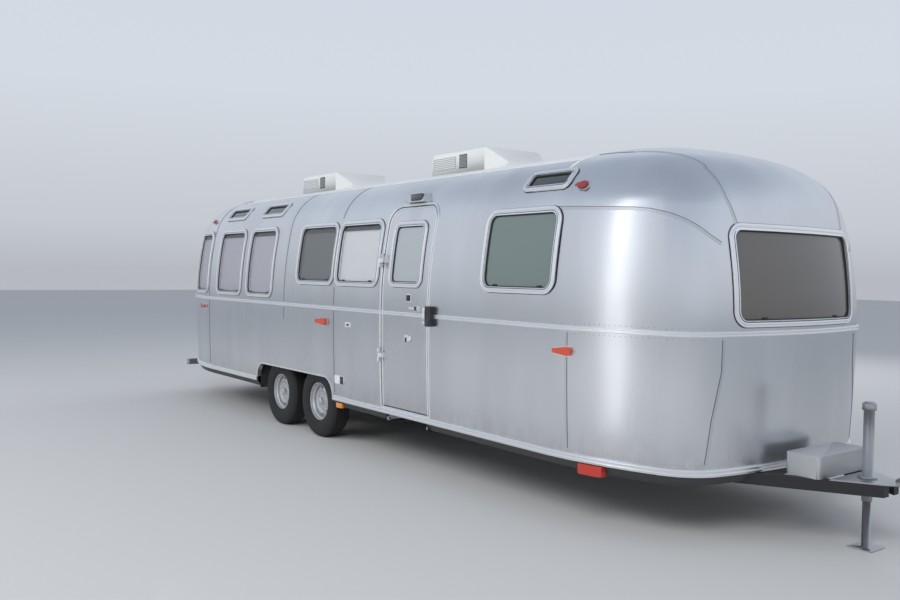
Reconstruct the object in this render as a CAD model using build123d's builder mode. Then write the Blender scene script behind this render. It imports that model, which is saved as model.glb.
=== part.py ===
"""Riveted aluminium travel caravan with tandem axles, parked on its wheels and tongue jack.

Frame: +X towards the hitch, -Y the kerb side with the entry door, +Z up, origin on the
ground under the middle of the whole caravan. All sizes are in millimetres.
"""
from build123d import *
from collections import namedtuple
from functools import lru_cache
from math import asin, atan2, cos, degrees, hypot, radians, sin
import os

os.makedirs("parts", exist_ok=True)

# Overall sizes
SHELL_LENGTH = 8500.0
SHELL_WIDTH = 2440.0
TONGUE_REACH = 840.0
BUMPER_REACH = 120.0
TYRE_RADIUS = 356.0
RIDE_RISE = 124.0
RAIL_Z = TYRE_RADIUS + RIDE_RISE

# Cross-section of the shell: four arcs from the bottom rail to the crown
BELT_RISE = 837.0
RAIL_TUCK = 24.0
UPPER_RADIUS = 3740.0
UPPER_SPAN = 12.26
SHOULDER_RADIUS = 527.0
SEAM_ANGLE = 71.6
WALL = 40.0

# Plan of the rounded ends: front arc, corner arc and blend into the straight side
CAP_DEPTH = 1263.0
CORNER_SHARE = 0.30
FRONT_SPAN = 12.6
CORNER_END = 68.75

# Side windows: rise over the belt and height of the usual and of the tall ones
WINDOW_RISE = 215.0
WINDOW_HEIGHT = 610.0
TALL_RISE = 55.0
TALL_HEIGHT = 770.0
WINDOW_CORNER = 110.0
LEAST_CORNER = 15.0
FRAME_WIDTH = 42.0
FRAME_PROUD = 14.0
GLASS_SET = 8.0
GLASS = 6.0
BLIND_SET = 30.0
BLIND = 3.0

# End windows and the curved corner windows of the rear
END_WINDOW_WIDTH = 1370.0
END_WINDOW_RISE = 40.0
END_WINDOW_HEIGHT = 650.0
END_WINDOW_CORNER = 100.0
WING_WIDTH = 600.0
WING_ANGLE = 82.0

# Curved roof-edge windows
VISTA_HEIGHT = 200.0
VISTA_CORNER = 60.0
VISTA_TILT = 38.0
VISTA_RISE = 1860.0

# Entry door
DOOR_REAR = 3300.0
DOOR_WIDTH = 750.0
DOOR_TOP_RISE = 1772.0
DOOR_CORNER = 160.0
JAMB = 18.0
FRAME_LIP = 4.0
DOOR_GAP = 8.0
DOOR_WINDOW_WIDTH = 500.0
DOOR_WINDOW_RISE = 225.0
DOOR_WINDOW_HEIGHT = 560.0
DOOR_WINDOW_CORNER = 85.0
HINGE_STAND = 24.0
HINGE_RADIUS = 9.0
HINGE_PIN = 4.0
HINGE_RISES = (464.0, 1290.0)
HINGE_HEIGHT = 120.0
HINGE_LEAF = 50.0
LUG_DEPTH = 90.0
SEAT_DEPTH = 150.0

# Latch plate on the door and lock box on the wall beside it, both across the belt
LATCH_WIDTH = 54.0
LATCH_HEIGHT = 130.0
LATCH_PROUD = 14.0
PADDLE_PROUD = 24.0
LOCK_AHEAD = 60.0
LOCK_FRONT = DOOR_REAR - DOOR_WIDTH - LOCK_AHEAD
LOCK_WIDTH = 74.0
LOCK_HEIGHT = 164.0
LOCK_PROUD = 40.0
LOCK_ROUND = 12.0

# Mouldings
BELT_HEIGHT = 34.0
BELT_PROUD = 12.0
BELT_SEAT = 0.2
RAIL_HEIGHT = 46.0
RAIL_PROUD = 10.0

# Running gear
AXLE_BEHIND_NOSE = 5030.0
TYRE_SPACE = 138.0
AXLE_SPACING = 2 * TYRE_RADIUS + TYRE_SPACE
TYRE_WIDTH = 205.0
RIM_RADIUS = 190.0
TRACK = 2070.0
WELL_END = 84.0
WELL_LENGTH = AXLE_SPACING + 2 * (TYRE_RADIUS + WELL_END)
WELL_FRONT = AXLE_BEHIND_NOSE - WELL_LENGTH / 2
WELL_RISE = 170.0
WELL_CORNER = 155.0
WELL_TRIM = 14.0
WELL_TRIM_PROUD = 8.0
WELL_INNER = 830.0
WELL_ROOM = 30.0
WELL_HEIGHT = TYRE_RADIUS - RIDE_RISE + WELL_ROOM
WELL_SHEET = 6.0
SPINDLE_RADIUS = 22.0
RUNNING_GAP = 0.3
AXLE_ARM = 145.0
AXLE_DROP = 49.0
AXLE_TUBE = 90.0
ARM_Y = 872.0
ARM_THICK = 26.0
ARM_HEIGHT = 70.0
TYRE_TREAD = 76.0
TYRE_CHEEK = 62.0
BEAD_INSET = 25.0
WHEEL_DISH = 18.0
HUB_RADIUS = 60.0
HUB_BACK = 40.0
HUB_FRONT = 54.0
RIM_SHEET = 8.0
DISC_THICK = 10.0
AXLE_CLEAR = 6.0
PASSAGE_CLEAR = 2.0

# Chassis
PAN_DEPTH = 130.0
PAN_SHEET = 5.0
FLOOR_THICK = 20.0
RAIL_TUBE = 50.0
RAIL_SPREAD = 640.0
A_TUBE = 60.0
A_START = 420.0
COUPLER_LENGTH = 250.0
TONGUE_PLATE = 8.0
BALL_SOCKET = 26.0
SOCKET_BACK = 48.0
SOCKET_ROOM = 70.0
JACK_BACK = 400.0
JACK_TUBE = 32.0
JACK_RAM = 25.0
JACK_RAM_LENGTH = 560.0
BUMPER_THICK = 60.0
BUMPER_INSET = 200.0
COUPLER_NECK = 190.0
COUPLER_WIDE = 64.0
COUPLER_EDGE = 12.0
COUPLER_FLANGE = 28.0
PLATE_BACK = 110.0
PLATE_FRONT = 60.0
PLATE_NOSE = 45.0
JACK_COLLAR = 56.0
JACK_COLLAR_THICK = 10.0
JACK_CAP = 42.0
JACK_CAP_HEIGHT = 50.0
JACK_SHOE = 8.0
JACK_BELOW = 60.0
CORNER_ROUND = 20.0
JACK_FOOT = 160.0
JACK_HEAD = 430.0
BATTERY_AHEAD = 175.0
BATTERY_BOX = (230.0, 580.0, 140.0)

# Folding step under the door
STEP_WIDTH = 620.0
STEP_DEPTH = 250.0
STEP_SETBACK = 40.0
STEP_PLATE = 6.0
STEP_PIVOT_DROP = 92.0
STEP_RISE = 58.0
STEP_PIN = 8.0
STEP_PIVOT_SET = 20.0
STEP_TREAD = 30.0
STEP_SIDE = 60.0
STEP_ARM = 10.0
STEP_EYE = 18.0
STEP_FRONT = 45.0
STEP_EASE = 20.0

# Roof units and lamps
UNIT_LENGTH = 1040.0
UNIT_WIDTH = 665.0
UNIT_HEIGHT = 190.0
UNIT_LIP = 40.0
UNIT_SLOPE = 210.0
UNIT_TAPER = 116.0
UNIT_CORNER = 60.0
UNIT_EDGE = 16.0
UNIT_FOOT = 40.0
ROOF_UNITS = (3284.0, 6012.0)
LAMP_BASE = 6.0
LAMP_PROUD = 26.0
BASE_MARGIN = 9.0
HATCH_PROUD = 5.0
PORCH_PROUD = 45.0
TAIL_LAMP_SPREAD = 620.0
SKIRT_LAMP_ROUND = 12.0

half_width = SHELL_WIDTH / 2
belt_z = RAIL_Z + BELT_RISE
overall_length = SHELL_LENGTH + TONGUE_REACH + BUMPER_REACH
nose_x = overall_length / 2 - TONGUE_REACH
tail_x = nose_x - SHELL_LENGTH
front_joint_x = nose_x - CAP_DEPTH
rear_joint_x = tail_x + CAP_DEPTH
middle_x = (nose_x + tail_x) / 2
KERB = -1
OFF = 1

# Side windows: distance from the nose to the forward edge, width, rise over the belt and height
SideWindow = namedtuple("SideWindow", "side front width rise height")
SIDE_WINDOWS = [
    SideWindow(KERB, 1110, 800, WINDOW_RISE, WINDOW_HEIGHT),
    SideWindow(KERB, 3345, 790, WINDOW_RISE, WINDOW_HEIGHT),
    SideWindow(KERB, 4150, 790, WINDOW_RISE, WINDOW_HEIGHT),
    SideWindow(KERB, 5480, 700, TALL_RISE, TALL_HEIGHT),
    SideWindow(KERB, 6305, 750, TALL_RISE, TALL_HEIGHT),
    SideWindow(OFF, 1110, 800, WINDOW_RISE, WINDOW_HEIGHT),
    SideWindow(OFF, 2700, 790, WINDOW_RISE, WINDOW_HEIGHT),
    SideWindow(OFF, 4150, 790, WINDOW_RISE, WINDOW_HEIGHT),
    SideWindow(OFF, 6305, 750, TALL_RISE, TALL_HEIGHT),
]
# Roof-edge windows: distance from the nose to the centre, and length
Vista = namedtuple("Vista", "side distance length")
VISTA_PLACES = [(1370, 480), (5800, 570), (6795, 570)]
VISTAS = [Vista(side, distance, length) for side in (KERB, OFF) for distance, length in VISTA_PLACES]


# The shell's form

Arc = namedtuple("Arc", "centre_y centre_z radius start end")


def section_arcs():
    """Four tangent arcs of the half section, with their normals' angles in degrees."""
    low_radius = (BELT_RISE**2 + RAIL_TUCK**2) / (2 * RAIL_TUCK)
    low_start = -degrees(asin(BELT_RISE / low_radius))
    lower = Arc(half_width - low_radius, belt_z, low_radius, low_start, 0)
    upper = Arc(half_width - UPPER_RADIUS, belt_z, UPPER_RADIUS, 0, UPPER_SPAN)
    step = UPPER_RADIUS - SHOULDER_RADIUS
    shoulder_y = upper.centre_y + step * cos(radians(UPPER_SPAN))
    shoulder_z = upper.centre_z + step * sin(radians(UPPER_SPAN))
    shoulder = Arc(shoulder_y, shoulder_z, SHOULDER_RADIUS, UPPER_SPAN, SEAM_ANGLE)
    crown_radius = SHOULDER_RADIUS + shoulder_y / cos(radians(SEAM_ANGLE))
    crown_z = shoulder_z - (crown_radius - SHOULDER_RADIUS) * sin(radians(SEAM_ANGLE))
    return lower, upper, shoulder, Arc(0, crown_z, crown_radius, SEAM_ANGLE, 90)


LOWER, UPPER, SHOULDER, CROWN = section_arcs()
roof_z = CROWN.centre_z + CROWN.radius


def on_arc(arc, angle, inset=0.0):
    """Half width and height of the section at a normal's angle, moved in by the inset."""
    reach = arc.radius - inset
    return arc.centre_y + reach * cos(radians(angle)), arc.centre_z + reach * sin(radians(angle))


def foot_angle(inset=0.0):
    """Normal's angle at which the lower arc meets the rail's height."""
    return -degrees(asin(BELT_RISE / (LOWER.radius - inset)))


def half_at(z, inset=0.0):
    """Half width of the wall at a height up to the top of the shoulder."""
    for arc in (LOWER, UPPER, SHOULDER):
        lift = (z - arc.centre_z) / (arc.radius - inset)
        angle = degrees(asin(min(1.0, max(-1.0, lift))))
        if angle <= arc.end:
            break
    return on_arc(arc, angle, inset)[0]


def run_arcs(arcs, side, inset):
    """Draws consecutive arcs of the section in the current line."""
    for arc in arcs:
        start = foot_angle(inset) if arc is LOWER else arc.start
        size = arc.end - start
        centre = (side * arc.centre_y, arc.centre_z)
        first = start if side > 0 else 180 - start
        CenterArc(centre, arc.radius - inset, first, side * size)


def wall_band(side, outer, inner, x0, x1):
    """Solid strip of side wall between two insets, from the rail to the roof seam."""
    with BuildPart() as band:
        with BuildSketch(Plane.YZ.offset(x0)):
            with BuildLine():
                run_arcs((LOWER, UPPER, SHOULDER), side, outer)
                run_arcs((LOWER, UPPER, SHOULDER), side, inner)
                for arc, angle_of in ((LOWER, foot_angle), (SHOULDER, lambda inset: SEAM_ANGLE)):
                    ends = [on_arc(arc, angle_of(inset), inset) for inset in (outer, inner)]
                    Line(*[(side * y, z) for y, z in ends])
            make_face()
        extrude(amount=x1 - x0)
    return band.part


def plan_radii(width):
    """Radii of the front, corner and blend arcs of the end's plan at a half width."""
    depth = CAP_DEPTH * width / half_width
    corner = width * (1 - (1 - CORNER_SHARE) * width / half_width)
    a, b = radians(FRONT_SPAN), radians(CORNER_END)
    across = width - corner * (sin(b) - sin(a))
    along = depth - corner * (cos(a) - cos(b))
    scale = sin(a) * cos(b) - (1 - sin(b)) * (1 - cos(a))
    front = (across * cos(b) - (1 - sin(b)) * along) / scale
    blend = (sin(a) * along - (1 - cos(a)) * across) / scale
    return depth, front, corner, blend


def draw_cap_outline(width, inset):
    """Draws the end's plan at a half width, with every arc moved in by the inset."""
    depth, front, corner, blend = plan_radii(width)
    a, b = radians(FRONT_SPAN), radians(CORNER_END)
    front_x = front_joint_x + depth - front
    corner_x = front_x + (front - corner) * cos(a)
    corner_y = (front - corner) * sin(a)
    blend_x = corner_x + (corner - blend) * cos(b)
    blend_y = corner_y + (corner - blend) * sin(b)
    CenterArc((front_x, 0), front - inset, -FRONT_SPAN, 2 * FRONT_SPAN)
    for side in (OFF, KERB):
        span = side * (CORNER_END - FRONT_SPAN)
        CenterArc((corner_x, side * corner_y), corner - inset, side * FRONT_SPAN, span)
        span = side * (90 - CORNER_END)
        CenterArc((blend_x, side * blend_y), blend - inset, side * CORNER_END, span)
    edge = width - inset
    Line((blend_x, edge), (blend_x, -edge))


# Steps that each arc takes in a loft: the smooth skin needs even ones, the ruled lining close ones
LevelSteps = namedtuple("LevelSteps", "lower upper shoulder crown")
SKIN_STEPS = LevelSteps(4, 4, 3, 4)
LINING_STEPS = LevelSteps(2, 4, 6, 4)
LAST_LEVEL = 0.96


def loft_levels(steps):
    """Arcs and the shares of them at which a loft takes its sections."""
    pairs = zip((LOWER, UPPER, SHOULDER, CROWN), steps)
    return [(arc, step / count) for arc, count in pairs for step in range(count)] + [(CROWN, LAST_LEVEL)]


@lru_cache(maxsize=None)
def cap_form(inset):
    """Closed solid of the front end out to the inset surface."""
    lining = inset >= WALL
    with BuildPart() as form:
        for arc, share in loft_levels(LINING_STEPS if lining else SKIN_STEPS):
            start = foot_angle(inset) if arc is LOWER else arc.start
            angle = start + share * (arc.end - start)
            width = on_arc(arc, angle)[0]
            height = on_arc(arc, angle, inset)[1]
            with BuildSketch(Plane.XY.offset(height)):
                with BuildLine():
                    draw_cap_outline(width, inset * cos(radians(angle)))
                make_face()
        loft(ruled=lining)
    return form.part


def to_rear(shape):
    """Mirror image of a front piece at the rear end."""
    return mirror(shape, about=Plane.YZ.offset(middle_x))


def cap_band(outer, inner):
    """Shell of the front end between two insets."""
    with BuildPart() as band:
        add(cap_form(outer))
        add(cap_form(inner), mode=Mode.SUBTRACT)
    return band.part


# Prisms that cut the windows and make their frames

def side_prism(side, x, z, width, height, corner):
    """Rounded prism through a side wall."""
    with BuildPart() as prism:
        with BuildSketch(Plane.XZ.offset(-side * half_width * 0.7)):
            with Locations((x, z)):
                RectangleRounded(width, height, corner)
        extrude(amount=-side * half_width * 0.4)
    return prism.part


def tilted_prism(plane, width, height, corner, depth=300.0):
    """Rounded prism through the shell along a plane's normal."""
    with BuildPart() as prism:
        with BuildSketch(plane.offset(-depth / 2)):
            RectangleRounded(width, height, corner)
        extrude(amount=depth)
    return prism.part


def window_ring(band, prism_of, outline):
    """Frame of a window: the band inside its outline, outside the glass."""
    width, height, corner = outline
    trim = 2 * FRAME_WIDTH
    with BuildPart() as ring:
        add(band)
        add(prism_of(width, height, corner), mode=Mode.INTERSECT)
        inner = prism_of(width - trim, height - trim, max(corner - FRAME_WIDTH, LEAST_CORNER))
        add(inner, mode=Mode.SUBTRACT)
    return ring.part


def window_pane(band, prism_of, outline):
    """Sheet that fills a window's frame."""
    width, height, corner = outline
    trim = 2 * FRAME_WIDTH
    with BuildPart() as pane:
        add(band)
        pane_prism = prism_of(width - trim, height - trim, max(corner - FRAME_WIDTH, LEAST_CORNER))
        add(pane_prism, mode=Mode.INTERSECT)
    return pane.part


def from_nose(distance):
    """X of a place measured back from the nose."""
    return nose_x - distance


SIDE_OUTLINES = []
for window in SIDE_WINDOWS:
    centre_x = from_nose(window.front) - window.width / 2
    centre_z = belt_z + window.rise + window.height / 2
    SIDE_OUTLINES.append((window.side, centre_x, centre_z, window.width, window.height, WINDOW_CORNER))


def vista_plane(vista):
    """Plane that looks out through a roof-edge window."""
    z = RAIL_Z + VISTA_RISE
    y = vista.side * half_at(z)
    normal = (0, vista.side * cos(radians(VISTA_TILT)), sin(radians(VISTA_TILT)))
    return Plane(origin=(from_nose(vista.distance), y, z), x_dir=(1, 0, 0), z_dir=normal)


def vista_prism_of(vista):
    """Prism maker for one roof-edge window."""
    return lambda width, height, corner: tilted_prism(vista_plane(vista), width, height, corner)


def vista_outline(vista):
    """Length, height and corner of one roof-edge window."""
    return vista.length, VISTA_HEIGHT, VISTA_CORNER


# Side walls and roof

def doorway(grow, depth=WALL * 4):
    """Prism of the doorway, larger than the door frame's outline by grow."""
    rear = from_nose(DOOR_REAR) - grow
    front = from_nose(DOOR_REAR - DOOR_WIDTH) + grow
    top = RAIL_Z + DOOR_TOP_RISE + grow
    foot = RAIL_Z - grow
    with BuildPart() as prism:
        with BuildSketch(Plane.XZ.offset(half_width * 0.7)) as outline:
            with Locations(((rear + front) / 2, (foot + top) / 2)):
                Rectangle(front - rear, top - foot)
            fillet(outline.vertices().group_by(Axis.Y)[-1], DOOR_CORNER + grow)
        extrude(amount=half_width * 0.4)
    return prism.part


def wheel_opening(grow=0.0):
    """Prism through both walls where the wheels stand."""
    x = from_nose(AXLE_BEHIND_NOSE)
    with BuildPart() as prism:
        with BuildSketch(Plane.XZ.offset(-half_width - WALL)) as outline:
            with Locations((x, RAIL_Z - 2 * WALL + (WELL_RISE + 2 * WALL + grow) / 2)):
                Rectangle(WELL_LENGTH + 2 * grow, WELL_RISE + 2 * WALL + grow)
            fillet(outline.vertices().group_by(Axis.Y)[-1], WELL_CORNER)
        extrude(amount=SHELL_WIDTH + 2 * WALL)
    return prism.part


walls = {}
for side, name in ((KERB, "kerb_side_wall"), (OFF, "off_side_wall")):
    with BuildPart() as wall:
        add(wall_band(side, 0, WALL, rear_joint_x, front_joint_x))
        for outline in SIDE_OUTLINES:
            if outline[0] == side:
                add(side_prism(*outline), mode=Mode.SUBTRACT)
        for vista in VISTAS:
            if vista.side == side:
                add(vista_prism_of(vista)(*vista_outline(vista)), mode=Mode.SUBTRACT)
        add(wheel_opening(), mode=Mode.SUBTRACT)
        if side == KERB:
            add(doorway(0), mode=Mode.SUBTRACT)
    wall.part.label = name
    walls[side] = wall
    export_step(wall.part, f"parts/{name}.step")

with BuildPart() as roof_panel:
    with BuildSketch(Plane.YZ.offset(rear_joint_x)):
        with BuildLine():
            for inset in (0, WALL):
                CenterArc((0, CROWN.centre_z), CROWN.radius - inset, SEAM_ANGLE, 2 * (90 - SEAM_ANGLE))
            for side in (KERB, OFF):
                ends = [on_arc(CROWN, SEAM_ANGLE, inset) for inset in (0, WALL)]
                Line(*[(side * y, z) for y, z in ends])
        make_face()
    extrude(amount=front_joint_x - rear_joint_x)
roof_panel.part.label = "roof_panel"
export_step(roof_panel.part, "parts/roof_panel.step")

# Rounded ends

end_window_z = belt_z + END_WINDOW_RISE + END_WINDOW_HEIGHT / 2
END_OUTLINE = (END_WINDOW_WIDTH, END_WINDOW_HEIGHT, END_WINDOW_CORNER)
WING_OUTLINE = (WING_WIDTH, TALL_HEIGHT, WINDOW_CORNER)


def end_plane():
    """Plane that looks out through the end window."""
    return Plane(origin=(nose_x, 0, end_window_z), x_dir=(0, 1, 0), z_dir=(1, 0, 0))


def wing_plane(side):
    """Plane that looks out through a corner window."""
    turn = radians(WING_ANGLE)
    blend = plan_radii(half_width)[-1]
    out = (cos(turn), side * sin(turn), 0)
    y = side * (half_width - blend * (1 - sin(turn)))
    origin = (front_joint_x + blend * cos(turn), y, belt_z + TALL_RISE + TALL_HEIGHT / 2)
    return Plane(origin=origin, x_dir=(-side * sin(turn), cos(turn), 0), z_dir=out)


def end_prism(width, height, corner):
    """Prism through the end window."""
    return tilted_prism(end_plane(), width, height, corner, 900)


def wing_prism(side):
    """Prism maker for one corner window."""
    return lambda width, height, corner: tilted_prism(wing_plane(side), width, height, corner, 700)


with BuildPart() as end_shell:
    add(cap_band(0, WALL))
    add(end_prism(*END_OUTLINE), mode=Mode.SUBTRACT)

# Windows near the front run on past the joint, in line with the straight wall
with BuildPart() as front_shell:
    add(end_shell.part)
    for window, outline in zip(SIDE_WINDOWS, SIDE_OUTLINES):
        if window.front < CAP_DEPTH:
            add(side_prism(*outline), mode=Mode.SUBTRACT)
    for vista in VISTAS:
        if vista.distance - vista.length / 2 < CAP_DEPTH:
            add(vista_prism_of(vista)(*vista_outline(vista)), mode=Mode.SUBTRACT)
front_shell.part.label = "front_shell"
export_step(front_shell.part, "parts/front_shell.step")

with BuildPart() as rear_shell:
    add(end_shell.part)
    for side in (KERB, OFF):
        add(wing_prism(side)(*WING_OUTLINE), mode=Mode.SUBTRACT)
rear_shell_part = to_rear(rear_shell.part)
rear_shell_part.label = "rear_shell"
export_step(rear_shell_part, "parts/rear_shell.step")

# Window frames, glass and blinds


def side_prism_of(outline):
    """Prism maker for one side window."""
    return lambda width, height, corner: side_prism(outline[0], outline[1], outline[2], width, height, corner)


window_fronts = [window.front for window in SIDE_WINDOWS] + [vista.distance - vista.length / 2 for vista in VISTAS]
bands_end_x = max(front_joint_x, from_nose(min(window_fronts)) + WALL)


def window_bands(outer, inner):
    """Strips of both side walls between two insets, as far forward as the windows reach."""
    return {side: wall_band(side, outer, inner, rear_joint_x, bands_end_x) for side in (KERB, OFF)}


frame_bands = window_bands(-FRAME_PROUD, WALL)
glass_bands = window_bands(GLASS_SET, GLASS_SET + GLASS)
blind_bands = window_bands(BLIND_SET, BLIND_SET + BLIND)

with BuildPart() as side_window_frames:
    for outline in SIDE_OUTLINES:
        add(window_ring(frame_bands[outline[0]], side_prism_of(outline), outline[3:]))
    for vista in VISTAS:
        add(window_ring(frame_bands[vista.side], vista_prism_of(vista), vista_outline(vista)))
side_window_frames.part.label = "side_window_frames"
export_step(side_window_frames.part, "parts/side_window_frames.step")

with BuildPart() as side_window_glass:
    for outline in SIDE_OUTLINES:
        add(window_pane(glass_bands[outline[0]], side_prism_of(outline), outline[3:]))
    for vista in VISTAS:
        add(window_pane(glass_bands[vista.side], vista_prism_of(vista), vista_outline(vista)))
side_window_glass.part.label = "side_window_glass"
export_step(side_window_glass.part, "parts/side_window_glass.step")

with BuildPart() as window_blinds:
    for outline in SIDE_OUTLINES:
        add(window_pane(blind_bands[outline[0]], side_prism_of(outline), outline[3:]))
window_blinds.part.label = "window_blinds"
export_step(window_blinds.part, "parts/window_blinds.step")

end_frame_band = cap_band(-FRAME_PROUD, WALL)
end_glass_band = cap_band(GLASS_SET, GLASS_SET + GLASS)
end_frame = window_ring(end_frame_band, end_prism, END_OUTLINE)
end_glass = window_pane(end_glass_band, end_prism, END_OUTLINE)
with BuildPart() as end_window_frames:
    add(end_frame)
    add(to_rear(end_frame))
    for side in (KERB, OFF):
        add(to_rear(window_ring(end_frame_band, wing_prism(side), WING_OUTLINE)))
end_window_frames.part.label = "end_window_frames"
export_step(end_window_frames.part, "parts/end_window_frames.step")

with BuildPart() as end_window_glass:
    add(end_glass)
    add(to_rear(end_glass))
    for side in (KERB, OFF):
        add(to_rear(window_pane(end_glass_band, wing_prism(side), WING_OUTLINE)))
end_window_glass.part.label = "end_window_glass"
export_step(end_window_glass.part, "parts/end_window_glass.step")

# Belt moulding and bottom rail, which run round the body and stop at the door and the wells


def perimeter_ring(width, outer, inner, low, height):
    """Level band round the whole body between two outsets."""
    with BuildPart() as ring:
        for reach, mode in ((outer, Mode.ADD), (inner, Mode.SUBTRACT)):
            with BuildSketch(Plane.XY.offset(low)):
                with BuildLine():
                    draw_cap_outline(width, -reach)
                make_face()
            extrude(amount=height, mode=mode)
    front = ring.part
    with BuildPart() as whole:
        add(front)
        add(to_rear(front))
        for side in (KERB, OFF):
            with BuildSketch(Plane.XY.offset(low)):
                with Locations((middle_x, side * (width + (outer + inner) / 2))):
                    Rectangle(front_joint_x - rear_joint_x, outer - inner)
            extrude(amount=height)
    return whole.part


door_mid_x = from_nose(DOOR_REAR - DOOR_WIDTH / 2)
belt_stop = LOCK_FRONT - 2
with BuildPart() as belt_moulding:
    add(perimeter_ring(half_width, BELT_PROUD, BELT_SEAT, belt_z - BELT_HEIGHT / 2, BELT_HEIGHT))
    with Locations((from_nose((DOOR_REAR + belt_stop) / 2), -half_width, belt_z)):
        Box(DOOR_REAR - belt_stop, 4 * BELT_PROUD, 2 * BELT_HEIGHT, mode=Mode.SUBTRACT)
belt_moulding.part.label = "belt_moulding"
export_step(belt_moulding.part, "parts/belt_moulding.step")

rail_half = half_width - RAIL_TUCK
with BuildPart() as bottom_rail:
    add(perimeter_ring(rail_half, RAIL_PROUD, 0, RAIL_Z - RAIL_HEIGHT, RAIL_HEIGHT))
    add(wheel_opening(), mode=Mode.SUBTRACT)
bottom_rail.part.label = "bottom_rail"
export_step(bottom_rail.part, "parts/bottom_rail.step")

# Floor, belly pan and wheel wells


def well_box(grow, low, high):
    """Boxes of both wheel wells between two heights, larger by grow."""
    x = from_nose(AXLE_BEHIND_NOSE)
    outer = half_at(RAIL_Z) - WALL
    with BuildPart() as boxes:
        for side in (KERB, OFF):
            with Locations((x, side * (WELL_INNER - grow + outer) / 2, (low + high) / 2)):
                Box(WELL_LENGTH + 2 * grow, outer - WELL_INNER + grow, high - low)
    return boxes.part


@lru_cache(maxsize=None)
def plan_plate(inset, low, height):
    """Plate with the body's plan at the rail."""
    with BuildPart() as end:
        with BuildSketch(Plane.XY.offset(low)):
            with BuildLine():
                draw_cap_outline(rail_half, inset)
            make_face()
        extrude(amount=height)
    with BuildPart() as plate:
        add(end.part)
        add(to_rear(end.part))
        with Locations((middle_x, 0, low + height / 2)):
            Box(front_joint_x - rear_joint_x, 2 * (rail_half - inset), height)
    return plate.part


FLOOR_INSET = WALL + 4
with BuildPart() as floor_deck:
    add(plan_plate(FLOOR_INSET, RAIL_Z, FLOOR_THICK))
    add(well_box(WELL_SHEET, RAIL_Z - 10, RAIL_Z + 2 * FLOOR_THICK), mode=Mode.SUBTRACT)
floor_deck.part.label = "floor_deck"
export_step(floor_deck.part, "parts/floor_deck.step")

# Levels of the belly pan: drop below the rail and inset from it
PanLevel = namedtuple("PanLevel", "drop inset")
PAN_LEVELS = [
    PanLevel(0, 4),
    PanLevel(PAN_DEPTH * 0.4, 8),
    PanLevel(PAN_DEPTH * 0.8, 36),
    PanLevel(PAN_DEPTH, 120),
]
axle_centre_x = from_nose(AXLE_BEHIND_NOSE)
axle_tube_z = TYRE_RADIUS + AXLE_DROP
AXLES = [("front", axle_centre_x + AXLE_SPACING / 2), ("rear", axle_centre_x - AXLE_SPACING / 2)]


@lru_cache(maxsize=None)
def pan_form(sheet):
    """Solid of the belly pan's outside, or of its hollow when a sheet is given."""
    with BuildPart() as end:
        for drop, inset in PAN_LEVELS:
            level = RAIL_Z - drop + (sheet if drop > PAN_LEVELS[1].drop else 0)
            with BuildSketch(Plane.XY.offset(level)):
                with BuildLine():
                    draw_cap_outline(rail_half, inset + sheet)
                make_face()
        loft(ruled=True)
    with BuildPart() as middle:
        points = []
        for drop, inset in PAN_LEVELS:
            level = RAIL_Z - drop + (sheet if drop > PAN_LEVELS[1].drop else 0)
            points.append((rail_half - inset - sheet, level))
        outline = points + [(-y, z) for y, z in reversed(points)]
        with BuildSketch(Plane.YZ.offset(rear_joint_x)):
            with BuildLine():
                Polyline(*outline, close=True)
            make_face()
        extrude(amount=front_joint_x - rear_joint_x)
    with BuildPart() as form:
        add(end.part)
        add(to_rear(end.part))
        add(middle.part)
    return form.part


rail_top = RAIL_Z - RAIL_HEIGHT - 4
rail_low = RAIL_Z - PAN_DEPTH + PAN_SHEET
rail_mid = (rail_top + rail_low) / 2
coupler_back = overall_length / 2 - COUPLER_LENGTH


def a_member(side, grow):
    """One of the two members that run forward to the coupler, larger by grow."""
    reach = A_TUBE / 2 + grow
    start = (nose_x - A_START, side * RAIL_SPREAD)
    end = (coupler_back, side * A_TUBE)
    with BuildPart() as member:
        with BuildSketch(Plane.XY.offset(rail_low - grow)):
            with BuildLine():
                Polyline(
                    (start[0], start[1] - reach), (end[0], end[1] - reach),
                    (end[0], end[1] + reach), (start[0], start[1] + reach), close=True,
                )
            make_face()
        extrude(amount=rail_top - rail_low + 2 * grow)
    return member.part


def bumper_arm(side, grow):
    """Rail end that carries the bumper behind the body, larger by grow."""
    back, front = -overall_length / 2 + BUMPER_THICK, rear_joint_x
    with BuildPart() as arm:
        with Locations(((back + front) / 2, side * RAIL_SPREAD, rail_mid)):
            Box(front - back, RAIL_TUBE + 2 * grow, rail_top - rail_low + 2 * grow)
    return arm.part


def frame_passage(grow):
    """Space that the frame takes where it leaves the belly pan."""
    with BuildPart() as space:
        for side in (KERB, OFF):
            add(a_member(side, grow))
            add(bumper_arm(side, grow))
    return space.part


def step_recess(grow):
    """Space of the folding step under the doorway, as deep as its sweep."""
    reach = hypot(STEP_DEPTH + STEP_PIVOT_SET, STEP_RISE + STEP_TREAD) + 2 * DOOR_GAP
    back = -half_width + STEP_SETBACK + STEP_PIVOT_SET + reach + grow
    front = -half_width - BELT_PROUD
    with BuildPart() as space:
        with Locations((door_mid_x, (front + back) / 2, RAIL_Z - PAN_DEPTH / 2 - 10)):
            Box(STEP_WIDTH + 2 * STEP_PLATE + 2 * grow, back - front, PAN_DEPTH + 20)
    return space.part


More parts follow.
